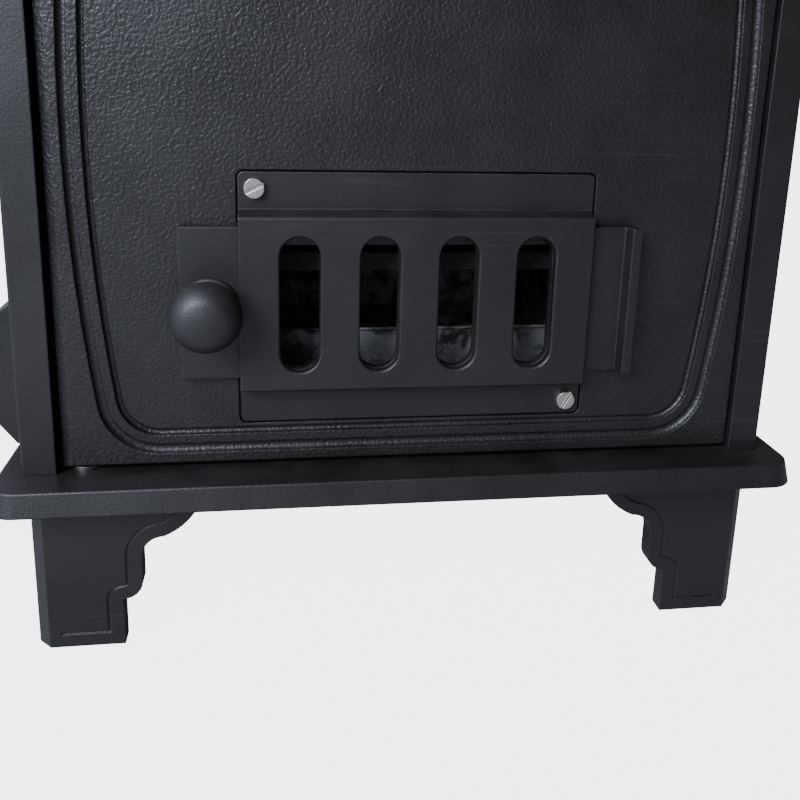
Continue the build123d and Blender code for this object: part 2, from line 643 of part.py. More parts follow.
def flue():
    NODES["flue_collar"] = flue_collar()
    low = Z_TOP + PLATE_T
    gasket = pin_z(0, FLUE_D, low, Z_COLLAR, COLLAR_FLANGE_R - 2)
    gasket -= pin_z(0, FLUE_D, low - 1, Z_COLLAR + 1, COLLAR_GASKET_R)
    bolts = []
    for x, d in collar_bolt_places():
        gasket -= pin_z(x, d, low - 1, Z_COLLAR + 1, M8 + BOLT_CLEAR)
        seat = Z_COLLAR + COLLAR_FLANGE_T
        head = hex_z(x, d, seat, seat + HEX_HEAD_M8, HEX_M8)
        bolts.append(head + pin_z(x, d, Z_TOP + COLLAR_THREAD_FROM, seat + 0.1, M8))
    NODES["flue_collar_gasket"] = gasket
    NODES["flue_collar_bolts"] = group(bolts)


# ---------------------------------------------------------------- door
def moulding_face(grow):
    """Barrel-shaped outline of the moulding: bowed sides, flat foot, arched crown; grow widens it all round."""
    steps = STEP_W + BAND_W + INNER_STEP_W
    half = MOULD_HALF_W - steps
    low = DOOR_Z0 + RIM_W + steps - grow
    high = DOOR_Z1 - RIM_W - steps + grow
    widest = DOOR_Z0 + BOW_Z
    right = Pos(FACE_X + half - SIDE_R, widest) * Circle(SIDE_R + grow)
    left = Pos(FACE_X + SIDE_R - half, widest) * Circle(SIDE_R + grow)
    crown = Pos(FACE_X, high - CROWN_R - grow) * Circle(CROWN_R + grow)
    floor = Pos(FACE_X, low) * Rectangle(4 * half, 2 * CROWN_R, align=(Align.CENTER, Align.MIN))
    outline = right & left & crown & floor
    corners = outline.vertices().sort_by(Axis.Y)
    outline = fillet(corners[:2], LOW_CORNER_R + grow)
    corners = outline.vertices().sort_by(Axis.Y)
    return fillet(corners[-2:], TOP_CORNER_R + grow)


def cove(outer, width, floor):
    """Round wall at the outer edge of a step that dips below the floor and rises to it at the inner edge."""
    radius = width + COVE_DIP - math.sqrt(2 * width * COVE_DIP)
    shoulder = (outer, floor + COVE_DIP - radius)
    lowest = (outer - radius, floor + COVE_DIP)
    return ThreePointArc(shoulder, lowest, (outer - width, floor))


def moulding_cutter():
    """What the moulding removes from the rim: the sunk panel, and the two coved steps swept round it."""
    inner = INNER_STEP_W
    outer = INNER_STEP_W + BAND_W
    edge = outer + STEP_W
    low = 2 * STEP_DEPTH
    upper_cove = cove(edge, STEP_W, STEP_DEPTH)
    lower_cove = cove(inner, INNER_STEP_W, low)
    profile = make_face(
        [
            Line((-2, -1), (edge, -1)),
            Line((edge, -1), upper_cove @ 0),
            upper_cove,
            Line((outer, STEP_DEPTH), (inner, STEP_DEPTH)),
            Line((inner, STEP_DEPTH), lower_cove @ 0),
            lower_cove,
            Line((0, low), (-2, low)),
            Line((-2, low), (-2, -1)),
        ]
    )
    plane = Plane(origin=(0, FRONT + D_RIM, 0), x_dir=(1, 0, 0), z_dir=(0, -1, 0))
    path = (plane * moulding_face(0.0)).wires()[0]
    start = path @ 0
    tangent = path % 0
    outward = tangent.cross(Vector(0, 1, 0))
    middle = Vector(0, start.Y, (DOOR_Z0 + DOOR_Z1) / 2)
    if outward.dot(start - middle) < 0:
        outward = -outward
    section_plane = Plane(origin=start, x_dir=outward, z_dir=outward.cross(Vector(0, 1, 0)))
    ring = sweep(section_plane * profile, path=path)
    well = along_y(moulding_face(-1.0), D_RIM - 1, D_PANEL)
    return ring + well


def window_outline(grow):
    """Window with an arched head."""
    half = WINDOW_W / 2 + grow
    spring = WINDOW_CROWN
    radius = (half * half + spring * spring) / (2 * spring)
    head = Pos(FACE_X, WINDOW_Z1 + grow - radius) * Circle(radius)
    outline = head & rect(FACE_X - half, FACE_X + half, WINDOW_Z0 - grow, WINDOW_Z1 + grow)
    return fillet(outline.vertices(), WINDOW_CORNER_R + grow * 0.5)


def vent_strips(grow):
    """Upper and lower strip of the vent cover, seen from the front."""
    half = VENT_STRIP_W / 2 + grow
    high = VENT_STRIP_H / 2 + grow
    foot = VENT_H / 2 - VENT_WALL + VENT_DRAFT - grow
    whole = Pos(FACE_X, VENT_CZ) * RectangleRounded(2 * half, 2 * high, 3.0 + grow)
    return whole - Pos(FACE_X, VENT_CZ) * Rectangle(2 * half + 2, 2 * foot)


def vent_screw_places():
    x = VENT_STRIP_W / 2 - VENT_SCREW_IN
    z = VENT_STRIP_H / 2 - VENT_SCREW_IN
    return [(FACE_X + s * x, VENT_CZ - s * z) for s in (-1, 1)]


def clip_places():
    return [(FACE_X + sx * CLIP_X, z) for sx in (-1, 1) for z in (CLIP_LOW_Z, CLIP_HIGH_Z)]


def door():
    outline = Polygon(
        (DOOR_LEFT + DOOR_BEVEL_W, FRONT + D_RIM),
        (DOOR_RIGHT, FRONT + D_RIM),
        (DOOR_RIGHT, FRONT + D_DOOR_BACK),
        (DOOR_LEFT, FRONT + D_DOOR_BACK),
        (DOOR_LEFT, FRONT + D_RIM + DOOR_BEVEL_DEPTH),
        align=None,
    )
    panel = Pos(0, 0, DOOR_Z0) * extrude(outline, amount=DOOR_Z1 - DOOR_Z0, dir=(0, 0, 1))
    low_edge = panel.faces().sort_by(Axis.Z)[0].edges().filter_by(Axis.X).sort_by(Axis.Y)[0]
    panel = chamfer(low_edge, DOOR_LOW_CHAMFER)
    panel -= moulding_cutter()
    recess = rect(
        DOOR_LEFT + DOOR_BAND, DOOR_RIGHT - DOOR_BAND, DOOR_Z0 + DOOR_BAND_LOW, DOOR_Z1 - DOOR_BAND_LOW, 12.0
    )
    panel -= along_y(recess, D_PANEL_BACK, D_DOOR_BACK + 1)
    panel += along_y(window_outline(WINDOW_RIM_W), D_PANEL - WINDOW_RIM_H, D_PANEL + 1)
    bosses = [(SPINDLE_X, SPINDLE_Z, BOSS_R, D_RIM - BOSS_PROUD)]
    bosses += [(x, z, 8.0, D_PANEL + VENT_STRIP_T + 1) for x, z in vent_screw_places()]
    for x, z, r, d0 in bosses:
        panel += pin_y(x, z, d0, D_DOOR_BACK, r)
    for x, z in clip_places():
        panel += pin_y(x, z, D_PANEL_BACK - 1, D_PANEL_BACK + GASKET_T + GLASS_T, 5.0)
        panel -= pin_y(x, z, D_PANEL_BACK, D_DOOR_BACK + 5, M4)
    panel -= along_y(window_outline(0.0), D_RIM - 2, D_DOOR_BACK + 1)
    panel -= along_y(vent_strips(1.0), D_RIM - 1, D_PANEL + VENT_STRIP_T)
    port_low = VENT_CZ - PORT_LOW
    port_high = VENT_CZ + PORT_HIGH
    port = rect(VENT_X - PORT_W / 2, VENT_X + PORT_W / 2, port_low, port_high)
    panel -= along_y(port, D_RIM - 1, D_DOOR_BACK + 1)
    panel -= along_y(rope_ring(ROPE_W, ROPE_CORNER_R), D_DOOR_BACK - ROPE_DEPTH_IN, D_DOOR_BACK + 1)
    panel -= pin_y(SPINDLE_X, SPINDLE_Z, D_RIM - 3, D_DOOR_BACK + 1, SPINDLE_R + HINGE_RUNNING)
    for x, z in vent_screw_places():
        panel -= pin_y(x, z, D_RIM, D_DOOR_BACK + 1, M6)
    pivot = HINGE_PIN_D / 2 + HINGE_RUNNING
    panel -= pin_z(HINGE_X, D_HINGE, DOOR_Z0 - 1, DOOR_Z0 + HINGE_BORE, pivot)
    panel -= pin_z(HINGE_X, D_HINGE, DOOR_Z1 - HINGE_BORE, DOOR_Z1 + 1, pivot)
    return panel


def glazing():
    glass = along_y(window_outline(GLASS_LAP), D_PANEL_BACK + GASKET_T, D_PANEL_BACK + GASKET_T + GLASS_T)
    ring = window_outline(GLASS_LAP) - window_outline(2.0)
    NODES["door_glass"] = glass
    NODES["glass_gasket"] = along_y(ring, D_PANEL_BACK, D_PANEL_BACK + GASKET_T)
    seat = D_PANEL_BACK + GASKET_T + GLASS_T
    clips = []
    screws = []
    for x, z in clip_places():
        reach = 8.0 if z > WINDOW_Z1 else -8.0
        tab = rect(x - 7, x + 7, z - 6.0 - max(reach, 0), z + 6.0 - min(reach, 0), 2.0)
        clip = along_y(tab, seat, seat + 2.0) - pin_y(x, z, seat - 1, seat + 3, M4 + BOLT_CLEAR)
        clips.append(clip)
        screws.append(back_screw(x, z, seat + 2.0, D_PANEL_BACK, M4, PAN_R_M4, PAN_H_M4))
    NODES["glass_clips"] = group(clips)
    NODES["glass_clip_screws"] = group(screws)


def door_rope():
    top = D_FLANGE - RIB_H - ROPE_GAP
    rope = along_y(rope_ring(ROPE_W, ROPE_CORNER_R), D_DOOR_BACK - ROPE_DEPTH_IN, top)
    return fillet(rope.faces().sort_by(Axis.Y)[-1].edges(), ROPE_EDGE_R)


def hinges():
    r = HINGE_PIN_D / 2
    head = Z_TOP - HEADER_H
    lower = pin_z(HINGE_X, D_HINGE, Z_BASE - HINGE_IN_BASE, DOOR_Z0 + HINGE_IN_DOOR, r)
    upper = pin_z(HINGE_X, D_HINGE, DOOR_Z1 - HINGE_IN_DOOR, head + HINGE_IN_HEAD, r)
    NODES["hinge_pins"] = group([lower, upper])
    washer = pin_z(HINGE_X, D_HINGE, Z_BASE, Z_BASE + WASHER_T, WASHER_R)
    NODES["hinge_washer"] = washer - pin_z(HINGE_X, D_HINGE, Z_BASE - 1, Z_BASE + 4, r)


# ---------------------------------------------------------------- primary air vent
def vent_slots():
    slots = []
    for i in range(SLOT_COUNT):
        x = VENT_X + (i - (SLOT_COUNT - 1) / 2) * SLOT_PITCH
        slots.append(Pos(x, VENT_CZ) * Rot(0, 0, 90) * SlotOverall(SLOT_H, SLOT_W))
    return slots


def vent_cover():
    half = VENT_H / 2
    foot = half + VENT_DRAFT
    inner = foot - VENT_WALL
    back = D_PANEL + VENT_STRIP_T
    inside = VENT_FACE + VENT_T
    hat = Polygon(
        (back, VENT_CZ - foot),
        (D_PANEL, VENT_CZ - foot),
        (VENT_FACE, VENT_CZ - half),
        (VENT_FACE, VENT_CZ + half),
        (D_PANEL, VENT_CZ + foot),
        (back, VENT_CZ + foot),
        (back, VENT_CZ + inner),
        (inside, VENT_CZ + inner),
        (inside, VENT_CZ - inner),
        (back, VENT_CZ - inner),
        align=None,
    )
    cover = along_x(hat, VENT_X - VENT_W / 2, VENT_X + VENT_W / 2)
    cover += along_y(vent_strips(0.0), D_PANEL, back)
    cover -= block(-VENT_STRIP_W, VENT_STRIP_W, inside, back + 1, VENT_CZ - inner, VENT_CZ + inner)
    for slot in vent_slots():
        cover -= along_y(slot, VENT_FACE - 1, inside + 1)
    cover = chamfer(cover.faces().filter_by(Axis.Y).sort_by(Axis.Y)[0].edges(), 0.7)
    for x, z in vent_screw_places():
        cover -= pin_y(x, z, D_PANEL - 1, back + 1, M6 + 0.2)
    return cover


def vent_screws():
    angles = (27.0, 60.0)
    screws = []
    for (x, z), angle in zip(vent_screw_places(), angles):
        screws.append(dome_screw(x, z, D_PANEL, D_DOOR_BACK, M6, CHEESE_R_M6, CHEESE_H_M6, angle))
    return group(screws)


def air_slider():
    half = SLIDER_H / 2
    end = SLIDER_STOP + SLIDER_RAMP_W + SLIDER_LIP_T
    plate = block(VENT_X - SLIDER_LEFT, end, SLIDER_FACE, SLIDER_BACK, VENT_CZ - half, VENT_CZ + half)
    lip = Polygon(
        (SLIDER_STOP, FRONT + SLIDER_FACE + 0.5),
        (SLIDER_STOP + 0.4, FRONT + SLIDER_FACE - 0.3),
        (SLIDER_STOP + SLIDER_RAMP_W, FRONT + SLIDER_FACE - SLIDER_LIP_H),
        (end, FRONT + SLIDER_FACE - SLIDER_LIP_H),
        (end, FRONT + SLIDER_FACE + 0.5),
        align=None,
    )
    plate += Pos(0, 0, VENT_CZ - half) * extrude(lip, amount=SLIDER_H, dir=(0, 0, 1))
    for slot in vent_slots():
        plate -= along_y(slot, SLIDER_FACE - 1, SLIDER_BACK + 1)
    plate -= pin_y(KNOB_X, VENT_CZ, SLIDER_FACE - 1, SLIDER_BACK + 1, M6)
    return plate - knob_screw_head()


def knob_screw_head():
    """Countersunk head that ends flush with the back of the slider."""
    cone = Cone(6.0, M6, 3.0, align=(Align.CENTER, Align.CENTER, Align.MIN))
    return Pos(KNOB_X, FRONT + SLIDER_BACK, VENT_CZ) * Rot(90, 0, 0) * cone


def knob(base_r, neck_r, head_r, length):
    """Mushroom knob turned about +Z, seated on the origin."""
    rim = (head_r, length * 0.62)
    dome_r = head_r * 1.9
    dome_x = head_r * 0.55
    dome_z = length - dome_r + math.sqrt(dome_r ** 2 - dome_x ** 2)
    under = length * 0.33
    edges = [
        Line((0, 0), (base_r, 0)),
        Line((base_r, 0), (base_r - 0.6, 3.0)),
        Line((base_r - 0.6, 3.0), (neck_r, 3.6)),
        Line((neck_r, 3.6), (neck_r, under)),
        TangentArc(rim, (neck_r, under), tangent=(0, -1)),
        TangentArc(rim, (dome_x, dome_z), tangent=(0, 1)),
        RadiusArc((dome_x, dome_z), (0, length), -dome_r),
        Line((0, length), (0, 0)),
    ]
    return revolve(Plane.XZ * make_face(edges), axis=Axis.Z)


def slider_parts():
    NODES["air_slider"] = air_slider()
    turned = knob(KNOB_BASE_D / 2, KNOB_NECK_D / 2, KNOB_D / 2, KNOB_L)
    seat = Pos(KNOB_X, FRONT + SLIDER_FACE, VENT_CZ) * Rot(90, 0, 0)
    tip = SLIDER_FACE - 18.0
    NODES["air_slider_knob"] = seat * turned - pin_y(KNOB_X, VENT_CZ, tip, SLIDER_FACE + 1, M6)
    NODES["slider_knob_screw"] = knob_screw_head() + pin_y(KNOB_X, VENT_CZ, tip, SLIDER_BACK - 0.5, M6)


# ---------------------------------------------------------------- handle and latch
def handle():
    arm_back = D_RIM - BOSS_PROUD - LEVER_GAP
    arm_face = arm_back - HANDLE_ARM_T
    low = SPINDLE_Z - HANDLE_ARM
    ends = [Pos(SPINDLE_X, z) * Circle(8.5) for z in (SPINDLE_Z - 12, low)]
    arm = make_hull(ends[0].edges() + ends[1].edges())
    lever = along_y(arm + Pos(SPINDLE_X, SPINDLE_Z) * Circle(12.0), arm_face, arm_back)
    lever = chamfer(lever.faces().sort_by(Axis.Y)[0].edges(), 1.2)
    lever -= pin_y(SPINDLE_X, SPINDLE_Z, arm_face - 1, arm_back + 1, SPINDLE_R)
    lever -= pin_y(SPINDLE_X, low, arm_face - 1, arm_back + 1, M6)
    NODES["handle_lever"] = lever
    grip = knob(11.0, 7.5, 15.5, HANDLE_KNOB_L)
    seat = Pos(SPINDLE_X, FRONT + arm_face, low) * Rot(90, 0, 0)
    NODES["handle_knob"] = seat * grip - pin_y(SPINDLE_X, low, arm_face - 18, arm_face + 1, M6)
    NODES["handle_knob_screw"] = pin_y(SPINDLE_X, low, arm_face - 18, arm_back, M6)

    cam_front = D_FLANGE_BACK + KEEPER_T + 0.5
    cam_back = cam_front + CAM_T
    spindle = pin_y(SPINDLE_X, SPINDLE_Z, arm_face - 1.0, cam_back, SPINDLE_R)
    spindle = chamfer(spindle.faces().sort_by(Axis.Y)[0].edges(), 0.8)
    NODES["handle_spindle"] = spindle + pin_y(SPINDLE_X, SPINDLE_Z, cam_back - 0.1, cam_back + 10.0, M8)
    washer = pin_y(SPINDLE_X, SPINDLE_Z, D_DOOR_BACK + 0.2, D_DOOR_BACK + 2.2, 10.5)
    NODES["spindle_washer"] = washer - pin_y(SPINDLE_X, SPINDLE_Z, D_DOOR_BACK, D_DOOR_BACK + 3, SPINDLE_R)
    sleeve = pin_y(SPINDLE_X, SPINDLE_Z, D_DOOR_BACK + 2.2, cam_front, 9.0)
    NODES["spindle_sleeve"] = sleeve - pin_y(SPINDLE_X, SPINDLE_Z, D_DOOR_BACK, cam_front + 1, SPINDLE_R)
    hub = Pos(SPINDLE_X, SPINDLE_Z) * Circle(11.0)
    finger = Pos(SPINDLE_X, SPINDLE_Z) * rect(-7.5, 7.5, 0, CAM_REACH, 3.0)
    cam = along_y(hub + finger, cam_front, cam_back)
    NODES["latch_cam"] = cam - pin_y(SPINDLE_X, SPINDLE_Z, cam_front - 1, cam_back + 1, SPINDLE_R)
    nut = hex_y(SPINDLE_X, SPINDLE_Z, cam_back, cam_back + 6.5, 13.0)
    NODES["latch_nut"] = nut - pin_y(SPINDLE_X, SPINDLE_Z, cam_back - 1, cam_back + 7, M8)


def keeper_screw_places():
    return [(OPEN_X + 23.0, SPINDLE_Z + s * 20.0) for s in (-1, 1)]


def keeper():
    plate = rect(OPEN_X + 1.0, OPEN_X + 31.0, SPINDLE_Z - 30, SPINDLE_Z + 30, 3.0)
    strip = along_y(plate, D_FLANGE_BACK, D_FLANGE_BACK + KEEPER_T)
    screws = []
    for x, z in keeper_screw_places():
        strip -= pin_y(x, z, D_FLANGE_BACK - 1, D_FLANGE_BACK + KEEPER_T + 1, M5 + 0.2)
        screws.append(back_screw(x, z, D_FLANGE_BACK + KEEPER_T, D_FLANGE_BACK - BLIND, M5, PAN_R_M5, PAN_H_M5))
    NODES["latch_keeper"] = strip
    NODES["keeper_screws"] = group(screws)


# ---------------------------------------------------------------- airwash
def wash_places():
    return [sx * (WASH_FIRST + i * WASH_PITCH) for sx in (-1, 1) for i in range(3)]


def wash_screw_places():
    x = WASH_GUIDE_W / 2 - WASH_SCREW_IN
    return [(sx * x, WASH_Z + sz * WASH_SCREW_Z) for sx in (-1, 1) for sz in (-1, 1)]


def airwash():
    d0 = D_FLANGE_BACK + WASH_GAP
    d1 = d0 + WASH_T
    guide_back = d1 + WASH_GAP + WASH_GUIDE_BACK
    half_w = WASH_SLIDE_W / 2
    half_h = WASH_SLIDE_H / 2
    plate = block(-half_w, half_w, d0, d1, WASH_Z - half_h, WASH_Z + half_h)
    outline = Pos(0, WASH_Z) * RectangleRounded(WASH_GUIDE_W, WASH_GUIDE_H, 2.0)
    guide = along_y(outline, D_FLANGE_BACK, guide_back)
    track = half_h + 0.5
    guide -= block(-WASH_GUIDE_W, WASH_GUIDE_W, D_FLANGE_BACK - 1, d1 + WASH_GAP, WASH_Z - track, WASH_Z + track)
    for x in wash_places():
        plate -= along_y(Pos(x, WASH_Z) * Rectangle(WASH_W, WASH_H), d0 - 1, d1 + 1)
        guide -= along_y(Pos(x, WASH_Z) * Rectangle(WASH_W + 3, WASH_H + 2), d0, d1 + 5)
    plate += pin_y(0, WASH_Z, -WASH_ARM_OUT, d0 + 1, WASH_ARM_R)
    screws = []
    for x, z in wash_screw_places():
        guide -= pin_y(x, z, D_FLANGE_BACK - 1, d1 + 5, 1.6)
        screws.append(back_screw(x, z, guide_back, D_FLANGE_BACK - BLIND, M3, PAN_R_M3, PAN_H_M3))
    NODES["airwash_slide"] = plate
    NODES["airwash_guide"] = guide
    NODES["airwash_guide_screws"] = group(screws)
    button = knob(5.5, 4.0, 7.5, 14.0)
    seat = Pos(0, FRONT - 1.0, WASH_Z) * Rot(90, 0, 0)
    NODES["airwash_knob"] = seat * button - pin_y(0, WASH_Z, -WASH_ARM_OUT, 0, WASH_ARM_R)


# ---------------------------------------------------------------- firebox
def hearth_frame():
    frame = block(-PANEL_IN + 0.5, PANEL_IN - 0.5, D_FLANGE_BACK + 0.5, D_REAR - 0.5, HEARTH_Z0, HEARTH_Z1)
    half_w = GRATE_W / 2
    half_d = GRATE_D / 2
    seat_z = HEARTH_Z1 - GRATE_SUNK
    frame -= block(-half_w - 1, half_w + 1, GRATE_MID - half_d - 1, GRATE_MID + half_d + 1, seat_z, HEARTH_Z1 + 1)
    in_w = half_w - GRATE_LEDGE
    in_d = half_d - GRATE_LEDGE
    frame -= block(-in_w, in_w, GRATE_MID - in_d, GRATE_MID + in_d, HEARTH_Z0 - 1, seat_z + 1)
    for x, d in tie_rod_places():
        frame -= pin_z(x, d, HEARTH_Z0 - 1, HEARTH_Z1 + 1, ROD_R + 1.0)
    return frame


def grate():
    half_w = GRATE_W / 2
    seat_z = HEARTH_Z1 - GRATE_SUNK
    plate = block(-half_w, half_w, GRATE_MID - GRATE_D / 2, GRATE_MID + GRATE_D / 2, seat_z, seat_z + GRATE_T)
    pitch = GRATE_BAR_PITCH
    count = int((GRATE_W - 20.0) // pitch)
    for i in range(count):
        x = (i - (count - 1) / 2) * pitch
        bar = Pos(x, FRONT + GRATE_MID) * Rot(0, 0, 90) * SlotOverall(GRATE_D - 2 * GRATE_BORDER, GRATE_SLOT_W)
        plate -= Pos(0, 0, seat_z - 1) * extrude(bar, amount=GRATE_T + 2)
    return plate


def lining():
    top = HEARTH_Z1 + BRICK_H
    inner = BRICK_OUT - BRICK_T
    right = block(inner, BRICK_OUT, BRICK_FROM, REAR_BRICK_FROM - 0.5, HEARTH_Z1, top)
    right = chamfer(right.edges().filter_by(Axis.Z), 2.0)
    NODES["firebrick_right"] = right
    NODES["firebrick_left"] = mirrored(right)
    rear = block(-BRICK_OUT, BRICK_OUT, REAR_BRICK_FROM, REAR_BRICK_FROM + BRICK_T, HEARTH_Z1, top)
    NODES["firebrick_rear"] = chamfer(rear.edges().filter_by(Axis.Z), 2.0)
    NODES["baffle_plate"] = block(-BRICK_OUT, BRICK_OUT, BRICK_FROM + 50.0, REAR_BRICK_FROM, top, top + BAFFLE_T)
    fence_from = PAN_FROM
    fence = block(-inner, inner, fence_from, fence_from + FENCE_T, HEARTH_Z1, HEARTH_Z1 + FENCE_H)
    pitch = 40.0
    for i in range(7):
        x = (i - 3) * pitch
        gap = Pos(x, HEARTH_Z1 + FENCE_H / 2) * Rot(0, 0, 90) * SlotOverall(FENCE_H - 16.0, 12.0)
        fence -= along_y(gap, fence_from - 1, fence_from + FENCE_T + 1)
    NODES["log_fence"] = fence


def ash_pan():
    z0 = Z_BASE + PAN_RAIL_H
    z1 = z0 + PAN_H
    half = PAN_W / 2
    d1 = PAN_FROM + PAN_D
    pan = block(-half, half, PAN_FROM, d1, z0, z1)
    pan = fillet(pan.edges().filter_by(Axis.Z), 8.0)
    inside = block(-half + PAN_T, half - PAN_T, PAN_FROM + PAN_T, d1 - PAN_T, z0 + PAN_T, z1 + 1)
    pan -= fillet(inside.edges().filter_by(Axis.Z), 8.0 - PAN_T)
    lip = block(-half - 5, half + 5, PAN_FROM + 12, d1 - 12, z1 - PAN_T, z1)
    lip -= block(-half + PAN_T, half - PAN_T, PAN_FROM, d1, z1 - 3, z1 + 1)
    NODES["ash_pan"] = pan + lip
    z = z0 + 18.0
    grip = block(-38, 38, PAN_FROM - 9.0, PAN_FROM, z - 2.5, z + 2.5)
    grip -= block(-33, 33, PAN_FROM - 4.0, PAN_FROM + 1, z - 4, z + 4)
    NODES["ash_pan_handle"] = fillet(grip.edges().filter_by(Axis.Z).group_by(Axis.Y)[0], 4.0)


def build():
    NODES["base_plate"] = base_plate()
    feet()
    NODES["top_plate"] = top_plate()
    tie_rods()
    NODES["front_frame"] = front_frame()
    right = side_panel()
    NODES["right_side_panel"] = right
    NODES["left_side_panel"] = mirrored(right)
    NODES["rear_panel"] = rear_panel()
    NODES["rear_blanking_plate"] = blanking_plate()
    NODES["blanking_plate_screws"] = group(
        [back_screw(x, z, BODY_D + BLANK_T, D_REAR, M6, PAN_R_M6, PAN_H_M6) for x, z in blank_places()]
    )
    rear_shield()
    flue()
    NODES["door"] = door()
    glazing()
    NODES["door_seal_rope"] = door_rope()
    hinges()
    NODES["vent_cover"] = vent_cover()
    NODES["vent_cover_screws"] = vent_screws()
    slider_parts()
    handle()
    keeper()
    airwash()
    NODES["hearth_frame"] = hearth_frame()
    NODES["grate"] = grate()
    lining()
    ash_pan()


build()
os.makedirs("parts", exist_ok=True)
for name, shape in NODES.items():
    export_step(shape, f"parts/{name}.step")
print(len(NODES), "nodes written")
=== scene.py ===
"""Looks for a cast-iron wood burning stove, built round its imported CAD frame."""
import json
import math

import bmesh
import bpy
from mathutils import Matrix, Vector


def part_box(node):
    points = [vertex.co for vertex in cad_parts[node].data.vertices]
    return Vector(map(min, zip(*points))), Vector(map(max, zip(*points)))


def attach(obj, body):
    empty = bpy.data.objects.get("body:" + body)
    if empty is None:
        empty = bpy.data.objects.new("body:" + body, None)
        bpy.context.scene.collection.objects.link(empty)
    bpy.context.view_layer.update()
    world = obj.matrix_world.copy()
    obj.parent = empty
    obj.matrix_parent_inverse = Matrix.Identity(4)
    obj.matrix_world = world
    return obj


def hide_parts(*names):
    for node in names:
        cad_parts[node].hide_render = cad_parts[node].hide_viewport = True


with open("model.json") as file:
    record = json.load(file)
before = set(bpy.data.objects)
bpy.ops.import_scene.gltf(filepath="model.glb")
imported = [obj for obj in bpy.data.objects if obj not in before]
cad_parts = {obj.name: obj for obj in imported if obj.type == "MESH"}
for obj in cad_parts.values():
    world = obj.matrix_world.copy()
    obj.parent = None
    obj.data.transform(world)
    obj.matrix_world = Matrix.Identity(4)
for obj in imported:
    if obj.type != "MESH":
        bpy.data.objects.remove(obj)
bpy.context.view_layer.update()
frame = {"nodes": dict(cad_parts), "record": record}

MM = 0.001


# ------------------------------------------------------------------ node helpers
def add_node(tree, kind, **settings):
    """New shader node of one kind, with its own settings."""
    made = tree.nodes.new("ShaderNode" + kind)
    for key, value in settings.items():
        setattr(made, key, value)
    return made


def wire(tree, source, target):
    tree.links.new(source, target)


def maths(tree, operation, a, b=None, clamp=False):
    """Math node whose inputs are sockets or numbers; returns its output."""
    made = add_node(tree, "Math", operation=operation, use_clamp=clamp)
    for slot, value in zip(made.inputs, (a, b)):
        if value is None:
            continue
        if isinstance(value, (int, float)):
            slot.default_value = value
        else:
            tree.links.new(value, slot)
    return made.outputs[0]


def remap(tree, value, low, high, to_low=0.0, to_high=1.0):
    """Smooth step from to_low to to_high while the value goes from low to high."""
    made = add_node(tree, "MapRange", interpolation_type="SMOOTHSTEP")
    made.inputs["From Min"].default_value = low
    made.inputs["From Max"].default_value = high
    made.inputs["To Min"].default_value = to_low
    made.inputs["To Max"].default_value = to_high
    tree.links.new(value, made.inputs["Value"])
    return made.outputs["Result"]


def noise(tree, vector, scale, detail=2.0, rough=0.5, distortion=0.0):
    """Noise from 0 to 1; scale is a number of repeats per metre, or a socket."""
    made = add_node(tree, "TexNoise")
    made.inputs["Detail"].default_value = detail
    made.inputs["Roughness"].default_value = rough
    made.inputs["Distortion"].default_value = distortion
    tree.links.new(vector, made.inputs["Vector"])
    if isinstance(scale, (int, float)):
        made.inputs["Scale"].default_value = scale
    else:
        tree.links.new(scale, made.inputs["Scale"])
    return made.outputs["Fac"]


def blend_colour(tree, mask, low, high):
    """Mix of two colours by a mask; each colour is a tuple or a socket."""
    made = add_node(tree, "Mix", data_type="RGBA")
    tree.links.new(mask, made.inputs[0])
    for slot, value in ((made.inputs[6], low), (made.inputs[7], high)):
        if isinstance(value, tuple):
            slot.default_value = (*value, 1.0)
        else:
            tree.links.new(value, slot)
    return made.outputs[2]


def new_group(name, inputs, outputs):
    """Shader node group with named float or vector sockets."""
    tree = bpy.data.node_groups.new(name, "ShaderNodeTree")
    for label, kind, value in inputs:
        socket = tree.interface.new_socket(label, in_out="INPUT", socket_type="NodeSocket" + kind)
        if value is not None:
            socket.default_value = value
    for label, kind in outputs:
        tree.interface.new_socket(label, in_out="OUTPUT", socket_type="NodeSocket" + kind)
    return tree, tree.nodes.new("NodeGroupInput"), tree.nodes.new("NodeGroupOutput")


# ------------------------------------------------------------------ shared effects
# Scales are in repeats per metre.
GRIT_FINER = 4.2            # grit is this many times finer than the pebbles
MOTTLE_SCALE = 21.0
SWELL_SCALE = 9.0
SWELL_HEIGHT = 2.2          # against a pebble's height of 1
WEAR_PATCH_SCALE = 90.0
VEIL_SCALE = 38.0
SPECK_SCALE = 210.0
SPECK_PATCH_SCALE = 55.0
HAIRLINE_SCALE = 900.0
HAIRLINE_PATCH_SCALE = 17.0
HAIRLINE_RUNS = ((0.5, 0.012), (-0.9, 0.02))    # turn in radians, squeeze along the line


